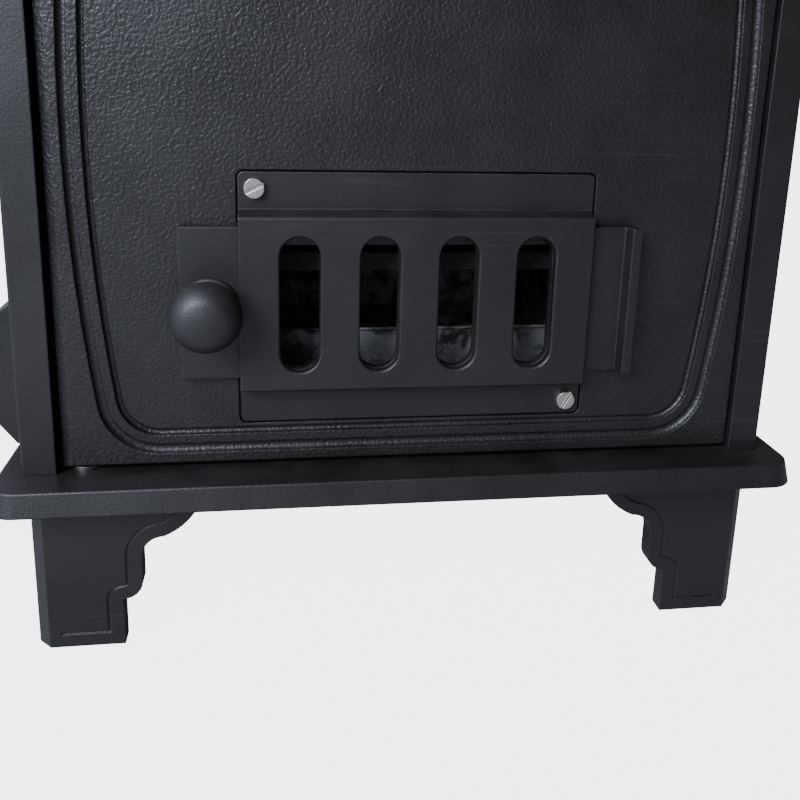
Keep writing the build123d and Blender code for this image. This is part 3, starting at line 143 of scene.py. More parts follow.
def build_cast_skin():
    """Orange-peel paint over sand-cast iron: pebbles, fine grit and a slow unevenness."""
    tree, given, out = new_group(
        "cast_skin",
        [
            ("Vector", "Vector", None),
            ("Pebble Scale", "Float", 600.0),
            ("Grit Depth", "Float", 0.3),
        ],
        [("Height", "Float"), ("Mottle", "Float"), ("Grit", "Float")],
    )
    vector = given.outputs["Vector"]
    pebbles = noise(tree, vector, given.outputs["Pebble Scale"], 1.5, 0.45, 0.3)
    pebbles = remap(tree, pebbles, 0.28, 0.72)
    grit_scale = maths(tree, "MULTIPLY", given.outputs["Pebble Scale"], GRIT_FINER)
    grit = noise(tree, vector, grit_scale, 2.0, 0.6)
    mottle = noise(tree, vector, MOTTLE_SCALE, 4.0, 0.6)
    swell = noise(tree, vector, SWELL_SCALE, 1.0, 0.5)
    fine = maths(tree, "MULTIPLY", grit, given.outputs["Grit Depth"])
    height = maths(tree, "ADD", pebbles, fine)
    height = maths(tree, "ADD", height, maths(tree, "MULTIPLY", swell, SWELL_HEIGHT))
    wire(tree, height, out.inputs["Height"])
    wire(tree, mottle, out.inputs["Mottle"])
    wire(tree, grit, out.inputs["Grit"])
    return tree


def build_edge_wear():
    """Mask of rubbed edges, and a normal that rounds them."""
    tree, given, out = new_group(
        "edge_wear",
        [("Vector", "Vector", None), ("Radius", "Float", 0.001), ("Amount", "Float", 0.5)],
        [("Wear", "Float"), ("Normal", "Vector")],
    )
    bevel = add_node(tree, "Bevel", samples=6)
    wire(tree, given.outputs["Radius"], bevel.inputs["Radius"])
    geometry = add_node(tree, "NewGeometry")
    dot = add_node(tree, "VectorMath", operation="DOT_PRODUCT")
    wire(tree, bevel.outputs["Normal"], dot.inputs[0])
    wire(tree, geometry.outputs["Normal"], dot.inputs[1])
    turned = maths(tree, "SUBTRACT", 1.0, dot.outputs["Value"])
    edge = remap(tree, turned, 0.015, 0.22)
    patchy = noise(tree, given.outputs["Vector"], WEAR_PATCH_SCALE, 3.0, 0.65)
    rubbed = maths(tree, "MULTIPLY", edge, remap(tree, patchy, 0.38, 0.66))
    mask = maths(tree, "MULTIPLY", rubbed, given.outputs["Amount"], clamp=True)
    wire(tree, mask, out.inputs["Wear"])
    wire(tree, bevel.outputs["Normal"], out.inputs["Normal"])
    return tree


def build_dust():
    """Fine pale dust: a thin veil that is thicker on faces that look up, and single specks."""
    tree, given, out = new_group(
        "settled_dust",
        [("Vector", "Vector", None), ("Amount", "Float", 0.3)],
        [("Veil", "Float"), ("Specks", "Float")],
    )
    geometry = add_node(tree, "NewGeometry")
    parts = add_node(tree, "SeparateXYZ")
    wire(tree, geometry.outputs["Normal"], parts.inputs[0])
    up = remap(tree, parts.outputs["Z"], 0.2, 1.0, 0.08, 1.0)
    cloud = noise(tree, given.outputs["Vector"], VEIL_SCALE, 5.0, 0.62)
    settled = maths(tree, "MULTIPLY", up, remap(tree, cloud, 0.3, 0.75))
    veil = maths(tree, "MULTIPLY", settled, given.outputs["Amount"], clamp=True)
    dots = add_node(tree, "TexVoronoi", feature="F1")
    dots.inputs["Scale"].default_value = SPECK_SCALE
    wire(tree, given.outputs["Vector"], dots.inputs["Vector"])
    near = remap(tree, dots.outputs["Distance"], 0.035, 0.075, 1.0, 0.0)
    rare = noise(tree, given.outputs["Vector"], SPECK_PATCH_SCALE, 1.0, 0.5)
    lone = maths(tree, "MULTIPLY", near, remap(tree, rare, 0.62, 0.7))
    specks = maths(tree, "MULTIPLY", lone, given.outputs["Amount"], clamp=True)
    wire(tree, veil, out.inputs["Veil"])
    wire(tree, specks, out.inputs["Specks"])
    return tree


def build_scuffs():
    """Long hairline scratches, in two directions, in scattered places."""
    tree, given, out = new_group(
        "hairlines",
        [("Vector", "Vector", None), ("Amount", "Float", 0.3)],
        [("Lines", "Float")],
    )
    total = None
    for turn, squeeze in HAIRLINE_RUNS:
        mapping = add_node(tree, "Mapping")
        mapping.inputs["Rotation"].default_value = (0.3, turn, 0.0)
        mapping.inputs["Scale"].default_value = (squeeze, 1.0, 1.0)
        wire(tree, given.outputs["Vector"], mapping.inputs["Vector"])
        line = noise(tree, mapping.outputs["Vector"], HAIRLINE_SCALE, 0.0, 0.5)
        line = remap(tree, line, 0.735, 0.78)
        total = line if total is None else maths(tree, "MAXIMUM", total, line)
    place = noise(tree, given.outputs["Vector"], HAIRLINE_PATCH_SCALE, 2.0, 0.5)
    scattered = maths(tree, "MULTIPLY", total, remap(tree, place, 0.5, 0.66))
    lines = maths(tree, "MULTIPLY", scattered, given.outputs["Amount"], clamp=True)
    wire(tree, lines, out.inputs["Lines"])
    return tree


CAST_SKIN = build_cast_skin()
EDGE_WEAR = build_edge_wear()
DUST = build_dust()
HAIRLINES = build_scuffs()


# ------------------------------------------------------------------ materials
STOVE_BLACK = (0.0068, 0.0066, 0.0066)
KNOB_BLACK = (0.009, 0.009, 0.0095)
SHEET_BLACK = (0.014, 0.014, 0.014)
RUBBED_PAINT = (0.075, 0.073, 0.072)
SCRATCHED_PAINT = (0.12, 0.12, 0.12)
PALE_DUST = (0.3, 0.29, 0.27)
FIRED_IRON = (0.045, 0.043, 0.041)
RUST = (0.12, 0.048, 0.02)
WOOD_ASH = (0.42, 0.4, 0.37)
DARK_STEEL = (0.16, 0.155, 0.15)
BRIGHT_ZINC = (0.55, 0.53, 0.5)
GRIME = (0.16, 0.14, 0.11)
ZINC_SPANGLES = ((0.33, 0.34, 0.35), (0.5, 0.5, 0.5))
PAN_SOOT = (0.035, 0.033, 0.032)
PAN_ASH = (0.42, 0.4, 0.36)
BOARD_FLAKES = ((0.44, 0.34, 0.2), (0.72, 0.6, 0.4))
BOARD_SMOKE = (0.09, 0.075, 0.06)
YARN = ((0.2, 0.19, 0.17), (0.62, 0.6, 0.54))
YARN_SMOKE = (0.13, 0.12, 0.11)
CLEAR_GLASS = (0.93, 0.89, 0.83)
SMOKED_GLASS = (0.32, 0.24, 0.17)
GLASS_IOR = 1.5


def shade(colour, factor):
    return tuple(min(1.0, part * factor) for part in colour)


def start_material(name):
    """Material with a Principled shader, and its Object coordinates."""
    material = bpy.data.materials.new(name)
    material.use_nodes = True
    tree = material.node_tree
    shader = tree.nodes["Principled BSDF"]
    vector = add_node(tree, "TexCoord").outputs["Object"]
    return material, tree, shader, vector


def use_group(tree, group, vector, **values):
    """Place a shared effect; each value's name is its socket's, with _ for a space."""
    made = tree.nodes.new("ShaderNodeGroup")
    made.node_tree = group
    wire(tree, vector, made.inputs["Vector"])
    for key, value in values.items():
        made.inputs[key.replace("_", " ")].default_value = value
    return made.outputs


def bump(tree, height, distance, strength=1.0, normal=None):
    made = add_node(tree, "Bump")
    made.inputs["Distance"].default_value = distance
    made.inputs["Strength"].default_value = strength
    wire(tree, height, made.inputs["Height"])
    if normal is not None:
        wire(tree, normal, made.inputs["Normal"])
    return made.outputs["Normal"]


def painted_iron(name, colour, rough, pebble, depth, wear=0.25, dust=0.12):
    """Satin stove paint; pebble and depth are the orange peel's size and height in millimetres."""
    material, tree, shader, vector = start_material(name)
    skin = use_group(tree, CAST_SKIN, vector, Pebble_Scale=1.0 / (pebble * MM), Grit_Depth=0.35)
    edges = use_group(tree, EDGE_WEAR, vector, Radius=1.0 * MM, Amount=wear)
    dirt = use_group(tree, DUST, vector, Amount=dust)
    lines = use_group(tree, HAIRLINES, vector, Amount=0.1)
    mottle = remap(tree, skin["Mottle"], 0.34, 0.66)
    paint = blend_colour(tree, mottle, shade(colour, 0.86), shade(colour, 1.16))
    paint = blend_colour(tree, edges["Wear"], paint, RUBBED_PAINT)
    faint = maths(tree, "MULTIPLY", lines["Lines"], 0.5)
    paint = blend_colour(tree, faint, paint, SCRATCHED_PAINT)
    veil = maths(tree, "MULTIPLY", dirt["Veil"], 0.2)
    paint = blend_colour(tree, maths(tree, "MAXIMUM", veil, dirt["Specks"]), paint, PALE_DUST)
    wire(tree, paint, shader.inputs["Base Color"])
    gloss = remap(tree, skin["Mottle"], 0.3, 0.7, rough - 0.035, rough + 0.035)
    gloss = maths(tree, "ADD", gloss, maths(tree, "MULTIPLY", skin["Grit"], 0.05))
    gloss = maths(tree, "ADD", gloss, maths(tree, "MULTIPLY", dirt["Veil"], 0.35))
    polish = maths(tree, "MULTIPLY", edges["Wear"], 0.12)
    gloss = maths(tree, "SUBTRACT", gloss, polish, clamp=True)
    wire(tree, gloss, shader.inputs["Roughness"])
    relief = bump(tree, skin["Height"], depth * MM, normal=edges["Normal"])
    wire(tree, relief, shader.inputs["Normal"])
    return material


def bare_iron(name, colour, rough, rust, ash):
    """Heat-dulled grey iron with a little rust and ash."""
    material, tree, shader, vector = start_material(name)
    skin = use_group(tree, CAST_SKIN, vector, Pebble_Scale=420.0, Grit_Depth=0.8)
    edges = use_group(tree, EDGE_WEAR, vector, Radius=1.5 * MM, Amount=0.5)
    dirt = use_group(tree, DUST, vector, Amount=ash)
    mottle = remap(tree, skin["Mottle"], 0.3, 0.7)
    base = blend_colour(tree, mottle, shade(colour, 0.6), colour)
    stain = remap(tree, noise(tree, vector, 34.0, 5.0, 0.68), 0.56, 0.74, 0.0, rust)
    base = blend_colour(tree, stain, base, RUST)
    base = blend_colour(tree, edges["Wear"], base, shade(colour, 1.8))
    base = blend_colour(tree, dirt["Veil"], base, WOOD_ASH)
    wire(tree, base, shader.inputs["Base Color"])
    shader.inputs["Metallic"].default_value = 0.35
    gloss = remap(tree, skin["Grit"], 0.2, 0.8, rough - 0.08, rough + 0.1)
    wire(tree, gloss, shader.inputs["Roughness"])
    relief = bump(tree, skin["Height"], 0.22 * MM, normal=edges["Normal"])
    wire(tree, relief, shader.inputs["Normal"])
    return material


def plated_steel(name, colour, rough, grime):
    """Bright or dark plated fastener: a fine grain, cloudy plating and spots of grime."""
    material, tree, shader, vector = start_material(name)
    edges = use_group(tree, EDGE_WEAR, vector, Radius=0.35 * MM, Amount=0.8)
    cloud = noise(tree, vector, 260.0, 4.0, 0.6)
    fine = noise(tree, vector, 2700.0, 2.0, 0.5)
    spots = remap(tree, noise(tree, vector, 900.0, 3.0, 0.7), 0.62, 0.74, 0.0, grime)
    tone = blend_colour(tree, remap(tree, cloud, 0.3, 0.7), shade(colour, 0.86), colour)
    tone = blend_colour(tree, spots, tone, GRIME)
    tone = blend_colour(tree, edges["Wear"], tone, shade(colour, 1.25))
    wire(tree, tone, shader.inputs["Base Color"])
    shader.inputs["Metallic"].default_value = 1.0
    gloss = remap(tree, fine, 0.25, 0.75, rough - 0.06, rough + 0.08)
    wire(tree, gloss, shader.inputs["Roughness"])
    relief = bump(tree, fine, 0.02 * MM, 0.6, edges["Normal"])
    wire(tree, relief, shader.inputs["Normal"])
    return material


def galvanised(name):
    """Spangled zinc sheet, mottled with soot and a little ash."""
    material, tree, shader, vector = start_material(name)
    spangle = add_node(tree, "TexVoronoi", feature="F1")
    spangle.inputs["Scale"].default_value = 150.0
    wire(tree, vector, spangle.inputs["Vector"])
    grey = add_node(tree, "SeparateColor")
    wire(tree, spangle.outputs["Color"], grey.inputs[0])
    zinc = blend_colour(tree, grey.outputs[0], *ZINC_SPANGLES)
    soot = remap(tree, noise(tree, vector, 62.0, 6.0, 0.7, 0.6), 0.36, 0.6)
    zinc = blend_colour(tree, soot, PAN_SOOT, zinc)
    blotch = remap(tree, noise(tree, vector, 160.0, 4.0, 0.65), 0.55, 0.72)
    zinc = blend_colour(tree, maths(tree, "MULTIPLY", blotch, 0.35), zinc, PAN_ASH)
    wire(tree, zinc, shader.inputs["Base Color"])
    wire(tree, remap(tree, soot, 0.0, 1.0, 0.35, 0.75), shader.inputs["Metallic"])
    wire(tree, remap(tree, soot, 0.0, 1.0, 0.78, 0.42), shader.inputs["Roughness"])
    wire(tree, bump(tree, blotch, 0.08 * MM), shader.inputs["Normal"])
    return material


def vermiculite(name):
    """Pale fire board: pressed golden flakes, softened corners, patches of smoke stain."""
    material, tree, shader, vector = start_material(name)
    flakes = add_node(tree, "TexVoronoi", feature="F1")
    flakes.inputs["Scale"].default_value = 330.0
    wire(tree, vector, flakes.inputs["Vector"])
    tint = add_node(tree, "SeparateColor")
    wire(tree, flakes.outputs["Color"], tint.inputs[0])
    edges = use_group(tree, EDGE_WEAR, vector, Radius=2.0 * MM, Amount=0.4)
    board = blend_colour(tree, tint.outputs[0], *BOARD_FLAKES)
    stain = remap(tree, noise(tree, vector, 14.0, 5.0, 0.6), 0.4, 0.75, 0.0, 0.75)
    board = blend_colour(tree, stain, board, BOARD_SMOKE)
    wire(tree, board, shader.inputs["Base Color"])
    shader.inputs["Roughness"].default_value = 0.92
    relief = bump(tree, flakes.outputs["Distance"], 0.5 * MM, normal=edges["Normal"])
    wire(tree, relief, shader.inputs["Normal"])
    return material


def fire_rope(name):
    """Knitted glass fibre: crossed diagonal stitches, greyed by smoke."""
    material, tree, shader, vector = start_material(name)
    stitches = None
    for turn in (0.78, -0.78):
        mapping = add_node(tree, "Mapping")
        mapping.inputs["Rotation"].default_value = (0.0, turn, 0.0)
        wire(tree, vector, mapping.inputs["Vector"])
        wave = add_node(tree, "TexWave", wave_type="BANDS", bands_direction="X")
        wave.inputs["Scale"].default_value = 170.0
        wave.inputs["Distortion"].default_value = 0.6
        wire(tree, mapping.outputs["Vector"], wave.inputs["Vector"])
        rows = wave.outputs["Fac"]
        stitches = rows if stitches is None else maths(tree, "MAXIMUM", stitches, rows)
    fluff = noise(tree, vector, 1500.0, 3.0, 0.7)
    smoke = remap(tree, noise(tree, vector, 26.0, 4.0, 0.6), 0.4, 0.7, 0.1, 0.8)
    yarn = blend_colour(tree, stitches, *YARN)
    yarn = blend_colour(tree, smoke, yarn, YARN_SMOKE)
    wire(tree, yarn, shader.inputs["Base Color"])
    shader.inputs["Roughness"].default_value = 0.95
    shader.inputs["Sheen Weight"].default_value = 0.2
    height = maths(tree, "ADD", stitches, maths(tree, "MULTIPLY", fluff, 0.3))
    wire(tree, bump(tree, height, 0.5 * MM), shader.inputs["Normal"])
    return material


def ceramic_glass(name):
    """Clear ceramic window with a faint amber cast and patches of smoke film."""
    material, tree, shader, vector = start_material(name)
    haze = remap(tree, noise(tree, vector, 22.0, 4.0, 0.6), 0.35, 0.8, 0.03, 0.2)
    tone = blend_colour(tree, haze, CLEAR_GLASS, SMOKED_GLASS)
    wire(tree, tone, shader.inputs["Base Color"])
    wire(tree, remap(tree, haze, 0.0, 0.2, 0.03, 0.16), shader.inputs["Roughness"])
    shader.inputs["Transmission Weight"].default_value = 1.0
    shader.inputs["IOR"].default_value = GLASS_IOR
    return material


FINISH = {
    "iron": painted_iron("stove_paint", STOVE_BLACK, rough=0.4, pebble=1.5, depth=0.04),
    "door_iron": painted_iron("door_paint", STOVE_BLACK, rough=0.38, pebble=1.8, depth=0.13),
    "smooth_iron": painted_iron(
        "plate_paint", STOVE_BLACK, rough=0.43, pebble=1.1, depth=0.02, wear=0.45
    ),
    "knob": painted_iron(
        "knob_paint", KNOB_BLACK, rough=0.46, pebble=0.9, depth=0.04, wear=0.2, dust=0.08
    ),
    "sheet": painted_iron("sheet_black", SHEET_BLACK, rough=0.6, pebble=0.8, depth=0.015),
    "raw_iron": bare_iron("fire_iron", FIRED_IRON, rough=0.72, rust=0.08, ash=0.12),
    "fastener": plated_steel("dark_steel", DARK_STEEL, rough=0.42, grime=0.5),
    "bright_screw": plated_steel("bright_zinc", BRIGHT_ZINC, rough=0.34, grime=0.3),
    "galvanised": galvanised("pan_zinc"),
    "rope": fire_rope("glass_fibre"),
    "brick": vermiculite("fire_board"),
    "glass": ceramic_glass("stove_glass"),
}

NODE_SLOT = {part["node"]: part["material_slot"] for part in frame["record"]["subparts"]}
for node_name, cad_object in frame["nodes"].items():
    cad_object.data.materials.clear()
    cad_object.data.materials.append(FINISH[NODE_SLOT[node_name]])


# ------------------------------------------------------------------ turned, wound and folded
# Sizes are in millimetres until a piece is made.
FACING_FRONT = Matrix.Rotation(math.radians(90.0), 4, "X")

SLIDER_KNOB = {"base_r": 14.0, "neck_r": 9.5, "head_r": 17.5, "length": 35.5}
LEVER_KNOB = {"base_r": 11.0, "neck_r": 7.5, "head_r": 15.5, "length": 40.0}
WASH_BUTTON = {"base_r": 5.5, "neck_r": 4.0, "head_r": 7.5, "length": 14.0}
LATHE_STEPS = 40
KNOB_ROUNDING = 2

SCREW_HEAD_R = 5.2
SCREW_HEAD_H = 3.4
SCREW_SLOT_W = 1.6
SCREW_SLOT_DEPTH = 1.9
UPPER_SCREW_TURN = 27.0
LOWER_SCREW_TURN = 60.0
SCREW_SEGMENTS = 48

ROPE_INSET = 4.0            # from the rope's outline to its middle line
ROPE_CORNER_R = 12.0
ROPE_STEP = 1.6
ROPE_LAY = 15.0             # one turn of the strands
ROPE_STRANDS = 4

PAN_FLANGE = 5.0
PAN_SHEET = 1.2
PAN_ROLL_D = 2.2
PAN_CORNER_R = 8.0
PAN_FLOOR_R = 2.5
PAN_ROLL_STEP = 30.0        # degrees
PAN_ROLL_STEPS = 7


def keep_piece(name, shape, slot, body, *nodes, smooth=True):
    """Turn a finished bmesh into a piece that takes the place of the named CAD nodes."""
    mesh = bpy.data.meshes.new(name)
    shape.to_mesh(mesh)
    shape.free()
    mesh.materials.append(FINISH[slot])
    mesh.shade_smooth() if smooth else mesh.shade_flat()
    piece = bpy.data.objects.new(name, mesh)
    bpy.context.scene.collection.objects.link(piece)
    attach(piece, body)
    if nodes:
        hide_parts(*nodes)
    return piece


def round_off(piece, levels):
    """Subdivision that rounds a turned piece."""
    surface = piece.modifiers.new("rounding", "SUBSURF")
    surface.levels = levels
    surface.render_levels = levels


def lathe(profile, steps):
    """Solid of revolution about Z from radius and height pairs that start and end on the axis."""
    shape = bmesh.new()
    line = [shape.verts.new((radius, 0.0, height)) for radius, height in profile]
    edges = [shape.edges.new(pair) for pair in zip(line, line[1:])]
    bmesh.ops.spin(
        shape, geom=line + edges, cent=(0, 0, 0), axis=(0, 0, 1),
        steps=steps, angle=math.tau, use_merge=True
    )
    bmesh.ops.remove_doubles(shape, verts=shape.verts, dist=0.001 * MM)
    bmesh.ops.recalc_face_normals(shape, faces=shape.faces)
    return shape


def knob_profile(base_r, neck_r, head_r, length):
    """Mushroom knob: stepped foot, waist, rounded shoulder with one turned groove, low dome."""
    rim_z = length * 0.62
    dome_r = head_r * 1.9
    dome_x = head_r * 0.55
    dome_z = length - dome_r + math.sqrt(dome_r ** 2 - dome_x ** 2)
    fall = head_r - dome_x
    rise = dome_z - rim_z
    shoulder_r = (fall ** 2 + rise ** 2) / (2 * fall)
    middle = head_r - shoulder_r
    last = math.degrees(math.asin(rise / shoulder_r))
    waist = length * 0.33

    def shoulder(angle, depth=0.0):
        reach = shoulder_r - depth
        angle = math.radians(angle)
        return (middle + reach * math.cos(angle), rim_z + reach * math.sin(angle))

    groove = head_r * 0.012
    foot = [(0.0, 0.0), (base_r - 0.5, 0.0), (base_r, 0.4)]
    foot += [(base_r - 0.1, 2.2), (base_r - 0.7, 3.0)]
    neck = [(neck_r + 0.9, 3.4), (neck_r, 4.2), (neck_r, waist - 1.2), (neck_r + 0.5, waist + 0.6)]
    flare = [(head_r * 0.8, rim_z - length * 0.14), (head_r * 0.965, rim_z - length * 0.07)]
    head = [shoulder(angle) for angle in (0.0, 14.0, 26.0, 28.5)] + [shoulder(30.0, groove)]
    head += [shoulder(angle) for angle in (31.5, 34.0, 46.0, 58.0, last)]
    dome = [(dome_x * 0.55, length - dome_x * 0.045), (0.0, length)]
    return foot + neck + flare + head + dome


def turned_knob(name, node, body, sizes):
    """Knob that stands where the CAD one does, on its own seat."""
    low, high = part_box(node)
    profile = [(radius * MM, height * MM) for radius, height in knob_profile(**sizes)]
    shape = lathe(profile, LATHE_STEPS)
    seat = Matrix.Translation(((low.x + high.x) / 2, high.y, (low.z + high.z) / 2))
    bmesh.ops.transform(shape, matrix=seat @ FACING_FRONT, verts=shape.verts)
    round_off(keep_piece(name, shape, "knob", body, node), KNOB_ROUNDING)


def slotted_head(shape, radius, height, slot_w, slot_depth, place):
    """Cheese head about Z: a disc, and the two halves of its face beside the slot."""
    first = len(shape.verts)
    bmesh.ops.create_cone(
        shape, cap_ends=True, segments=SCREW_SEGMENTS, radius1=radius, radius2=radius,
        depth=height - slot_depth
    )
    shape.verts.ensure_lookup_table()
    bmesh.ops.translate(shape, verts=shape.verts[first:], vec=(0, 0, (height - slot_depth) / 2))
    for side in (-1, 1):
        half = bmesh.new()
        bmesh.ops.create_cone(
            half, cap_ends=True, segments=SCREW_SEGMENTS, radius1=radius, radius2=radius * 0.955,
            depth=slot_depth
        )
        cut = bmesh.ops.bisect_plane(
            half, geom=half.verts[:] + half.edges[:] + half.faces[:],
            plane_co=(0, side * slot_w / 2, 0), plane_no=(0, -side, 0), clear_outer=True
        )["geom_cut"]
        cut_edges = [e for e in cut if isinstance(e, bmesh.types.BMEdge)]
        bmesh.ops.holes_fill(half, edges=cut_edges, sides=0)
        bmesh.ops.recalc_face_normals(half, faces=half.faces)
        top = [e for e in half.edges if all(v.co.z > 0 for v in e.verts)]
        bmesh.ops.bevel(
            half, geom=top, offset=radius * 0.05, segments=3, profile=0.5, affect="EDGES",
            material=-1
        )
        bmesh.ops.translate(half, verts=half.verts, vec=(0, 0, height - slot_depth / 2))
        scratch = bpy.data.meshes.new("half_head")
        half.to_mesh(scratch)
        half.free()
        shape.from_mesh(scratch)
        bpy.data.meshes.remove(scratch)
    shape.verts.ensure_lookup_table()
    bmesh.ops.transform(shape, matrix=place, verts=shape.verts[first:])


def vent_screws():
    """The two slotted screws of the vent cover, one at each end of a diagonal."""
    low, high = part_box("vent_cover_screws")
    radius = SCREW_HEAD_R * MM
    height = SCREW_HEAD_H * MM
    seat = low.y + height
    corners = (
        (low.x + radius, high.z - radius, UPPER_SCREW_TURN),
        (high.x - radius, low.z + radius, LOWER_SCREW_TURN),
    )
    shape = bmesh.new()
    for x, z, angle in corners:
        driven = Matrix.Rotation(math.radians(angle), 4, "Z")
        place = Matrix.Translation((x, seat, z)) @ FACING_FRONT @ driven
        slotted_head(shape, radius, height, SCREW_SLOT_W * MM, SCREW_SLOT_DEPTH * MM, place)
    keep_piece("vent_screws", shape, "bright_screw", "door", "vent_cover_screws", smooth=False)


def rope_route(low, high, corner, step):
    """Middle line round a rectangle with rounded corners, in the X-Z plane.

    Returns its length, and for each point its place, outward direction and distance along.
    """
    run_x = high.x - low.x - 2 * corner
    run_z = high.z - low.z - 2 * corner
    turn = corner * math.pi / 2
    total = 2 * (run_x + run_z) + 4 * turn
    count = round(total / step)
    sides = [
        (Vector((low.x + corner, 0, low.z)), Vector((1, 0, 0)), Vector((0, 0, -1)), run_x),
        (Vector((high.x, 0, low.z + corner)), Vector((0, 0, 1)), Vector((1, 0, 0)), run_z),
        (Vector((high.x - corner, 0, high.z)), Vector((-1, 0, 0)), Vector((0, 0, 1)), run_x),
        (Vector((low.x, 0, high.z - corner)), Vector((0, 0, -1)), Vector((-1, 0, 0)), run_z),
    ]
    route = []
    for index in range(count):
        distance = total * index / count
        along = distance
        for start, heading, outward, run in sides:
            if along < run:
                route.append((start + heading * along, outward, distance))
                break
            along -= run
            if along < turn:
                centre = start + heading * run - outward * corner
                angle = along / corner
                direction = outward * math.cos(angle) + heading * math.sin(angle)
                route.append((centre + direction * corner, direction, distance))
                break
            along -= turn
    return total, route


def door_rope():
    """Glass-fibre rope: four strands laid round each other in the groove of the door."""
    low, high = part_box("door_seal_rope")
    thick = high.y - low.y
    inset = Vector((ROPE_INSET, 0.0, ROPE_INSET)) * MM
    centre_y = (low.y + high.y) / 2
    strand_r = thick * 0.232
    lay_r = thick / 2 - strand_r * 1.02
    length, route = rope_route(low + inset, high - inset, ROPE_CORNER_R * MM, ROPE_STEP * MM)
    turns = round(length / (ROPE_LAY * MM))
    data = bpy.data.curves.new("rope_strands", "CURVE")
    data.dimensions = "3D"
    data.bevel_depth = strand_r
    data.bevel_resolution = 2
    for strand in range(ROPE_STRANDS):
        spline = data.splines.new("POLY")
        spline.points.add(len(route) - 1)
        spline.use_cyclic_u = True
        for point, (place, outward, along) in zip(spline.points, route):
            angle = math.tau * (along / length * turns + strand / ROPE_STRANDS)
            offset = outward * math.cos(angle) * lay_r
            depth = Vector((0, centre_y + math.sin(angle) * lay_r, 0))
            point.co = (*(place + offset + depth), 1.0)
    wound = bpy.data.objects.new("rope_strands", data)
    shape = bmesh.new()
    shape.from_mesh(bpy.data.meshes.new_from_object(wound))
    bpy.data.objects.remove(wound)
    bmesh.ops.recalc_face_normals(shape, faces=shape.faces)
    keep_piece("door_rope", shape, "rope", "door", "door_seal_rope")


def folded_pan():
    """Ash pan: one pressed sheet with rounded corners and a rim rolled over outwards."""
    low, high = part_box("ash_pan")
    roll_r = PAN_ROLL_D * MM / 2
    shape = bmesh.new()
    bmesh.ops.create_cube(shape, size=1.0)
    wide = high.x - low.x - 2 * PAN_FLANGE * MM
    deep = high.y - low.y
    tall = high.z - low.z - PAN_ROLL_D * MM
    bmesh.ops.scale(shape, verts=shape.verts, vec=(wide, deep, tall))
    upright = [e for e in shape.edges if abs(e.verts[0].co.z - e.verts[1].co.z) > tall / 2]
    bmesh.ops.bevel(
        shape, geom=upright, offset=PAN_CORNER_R * MM, segments=6, profile=0.5, affect="EDGES",
        material=-1
    )
    low_edges = [e for e in shape.edges if all(v.co.z < 0 for v in e.verts)]
    floor_edges = [e for e in low_edges if len(e.link_faces) == 2 and e.calc_face_angle(0.0) > 1.0]
    bmesh.ops.bevel(
        shape, geom=floor_edges, offset=PAN_FLOOR_R * MM, segments=3, profile=0.5, affect="EDGES",
        material=-1
    )
    lid = [f for f in shape.faces if f.normal.z > 0.9]
    bmesh.ops.delete(shape, geom=lid, context="FACES_ONLY")
    middle = Vector(((low.x + high.x) / 2, (low.y + high.y) / 2, low.z + tall / 2))
    bmesh.ops.translate(shape, verts=shape.verts, vec=middle)
    rim = [e for e in shape.edges if e.is_boundary]
    reach = 0.0
    rise = 0.0
    for step in range(1, PAN_ROLL_STEPS + 1):
        angle = math.radians(PAN_ROLL_STEP * step)
        new_reach = roll_r * (1.0 - math.cos(angle))
        new_rise = roll_r * math.sin(angle)
        made = bmesh.ops.extrude_edge_only(shape, edges=rim)["geom"]
        ring = [v for v in made if isinstance(v, bmesh.types.BMVert)]
        grow = (new_reach - reach) * 2
        factor = Vector((1 + grow / wide, 1 + grow / deep, 1.0))
        bmesh.ops.scale(shape, verts=ring, vec=factor, space=Matrix.Translation(-middle))
        bmesh.ops.translate(shape, verts=ring, vec=(0, 0, new_rise - rise))
        rim = [e for e in made if isinstance(e, bmesh.types.BMEdge)]
        reach = new_reach
        rise = new_rise
    bmesh.ops.recalc_face_normals(shape, faces=shape.faces)
    pan = keep_piece("pressed_ash_pan", shape, "galvanised", "root", "ash_pan")
    wall = pan.modifiers.new("sheet", "SOLIDIFY")
    wall.thickness = PAN_SHEET * MM
    wall.offset = -1.0


turned_knob("slider_knob", "air_slider_knob", "slider", SLIDER_KNOB)
turned_knob("lever_knob", "handle_knob", "handle", LEVER_KNOB)
turned_knob("wash_button", "airwash_knob", "airwash", WASH_BUTTON)
vent_screws()
door_rope()
folded_pan()


# ------------------------------------------------------------------ floor, light and camera
FLOOR_TONES = ((0.36, 0.36, 0.36), (0.4, 0.4, 0.4))
FLOOR_REACH = 6.0
FLOOR_GLOW = 5.5
FLOOR_GLOW_SHARE = 0.8
BACKDROP_GLOW = 7.0
ROOM_DIM = (0.12, 0.11, 0.1)
ROOM_BRIGHT = (0.95, 1.0, 1.25)

WINDOW_PLACE = (-1.25, -1.65, 1.35)
WINDOW_AIM = (0.0, -0.1, 0.4)
WINDOW_SIZE = (1.3, 1.0)
WINDOW_POWER = 105.0
WINDOW_COLOUR = (0.84, 0.89, 1.0)

CAMERA_LENS = 38.843
CAMERA_SENSOR = 36.0
CAMERA_SHIFT_Y = -0.1656
CAMERA_X = -0.06725
CAMERA_REACH = 0.4204       # in front of the front frame
CAMERA_Z = 0.3097
CAMERA_TURNS = ((-8.003, "Z"), (-13.308, "X"), (-1.556, "Y"), (90.0, "X"))


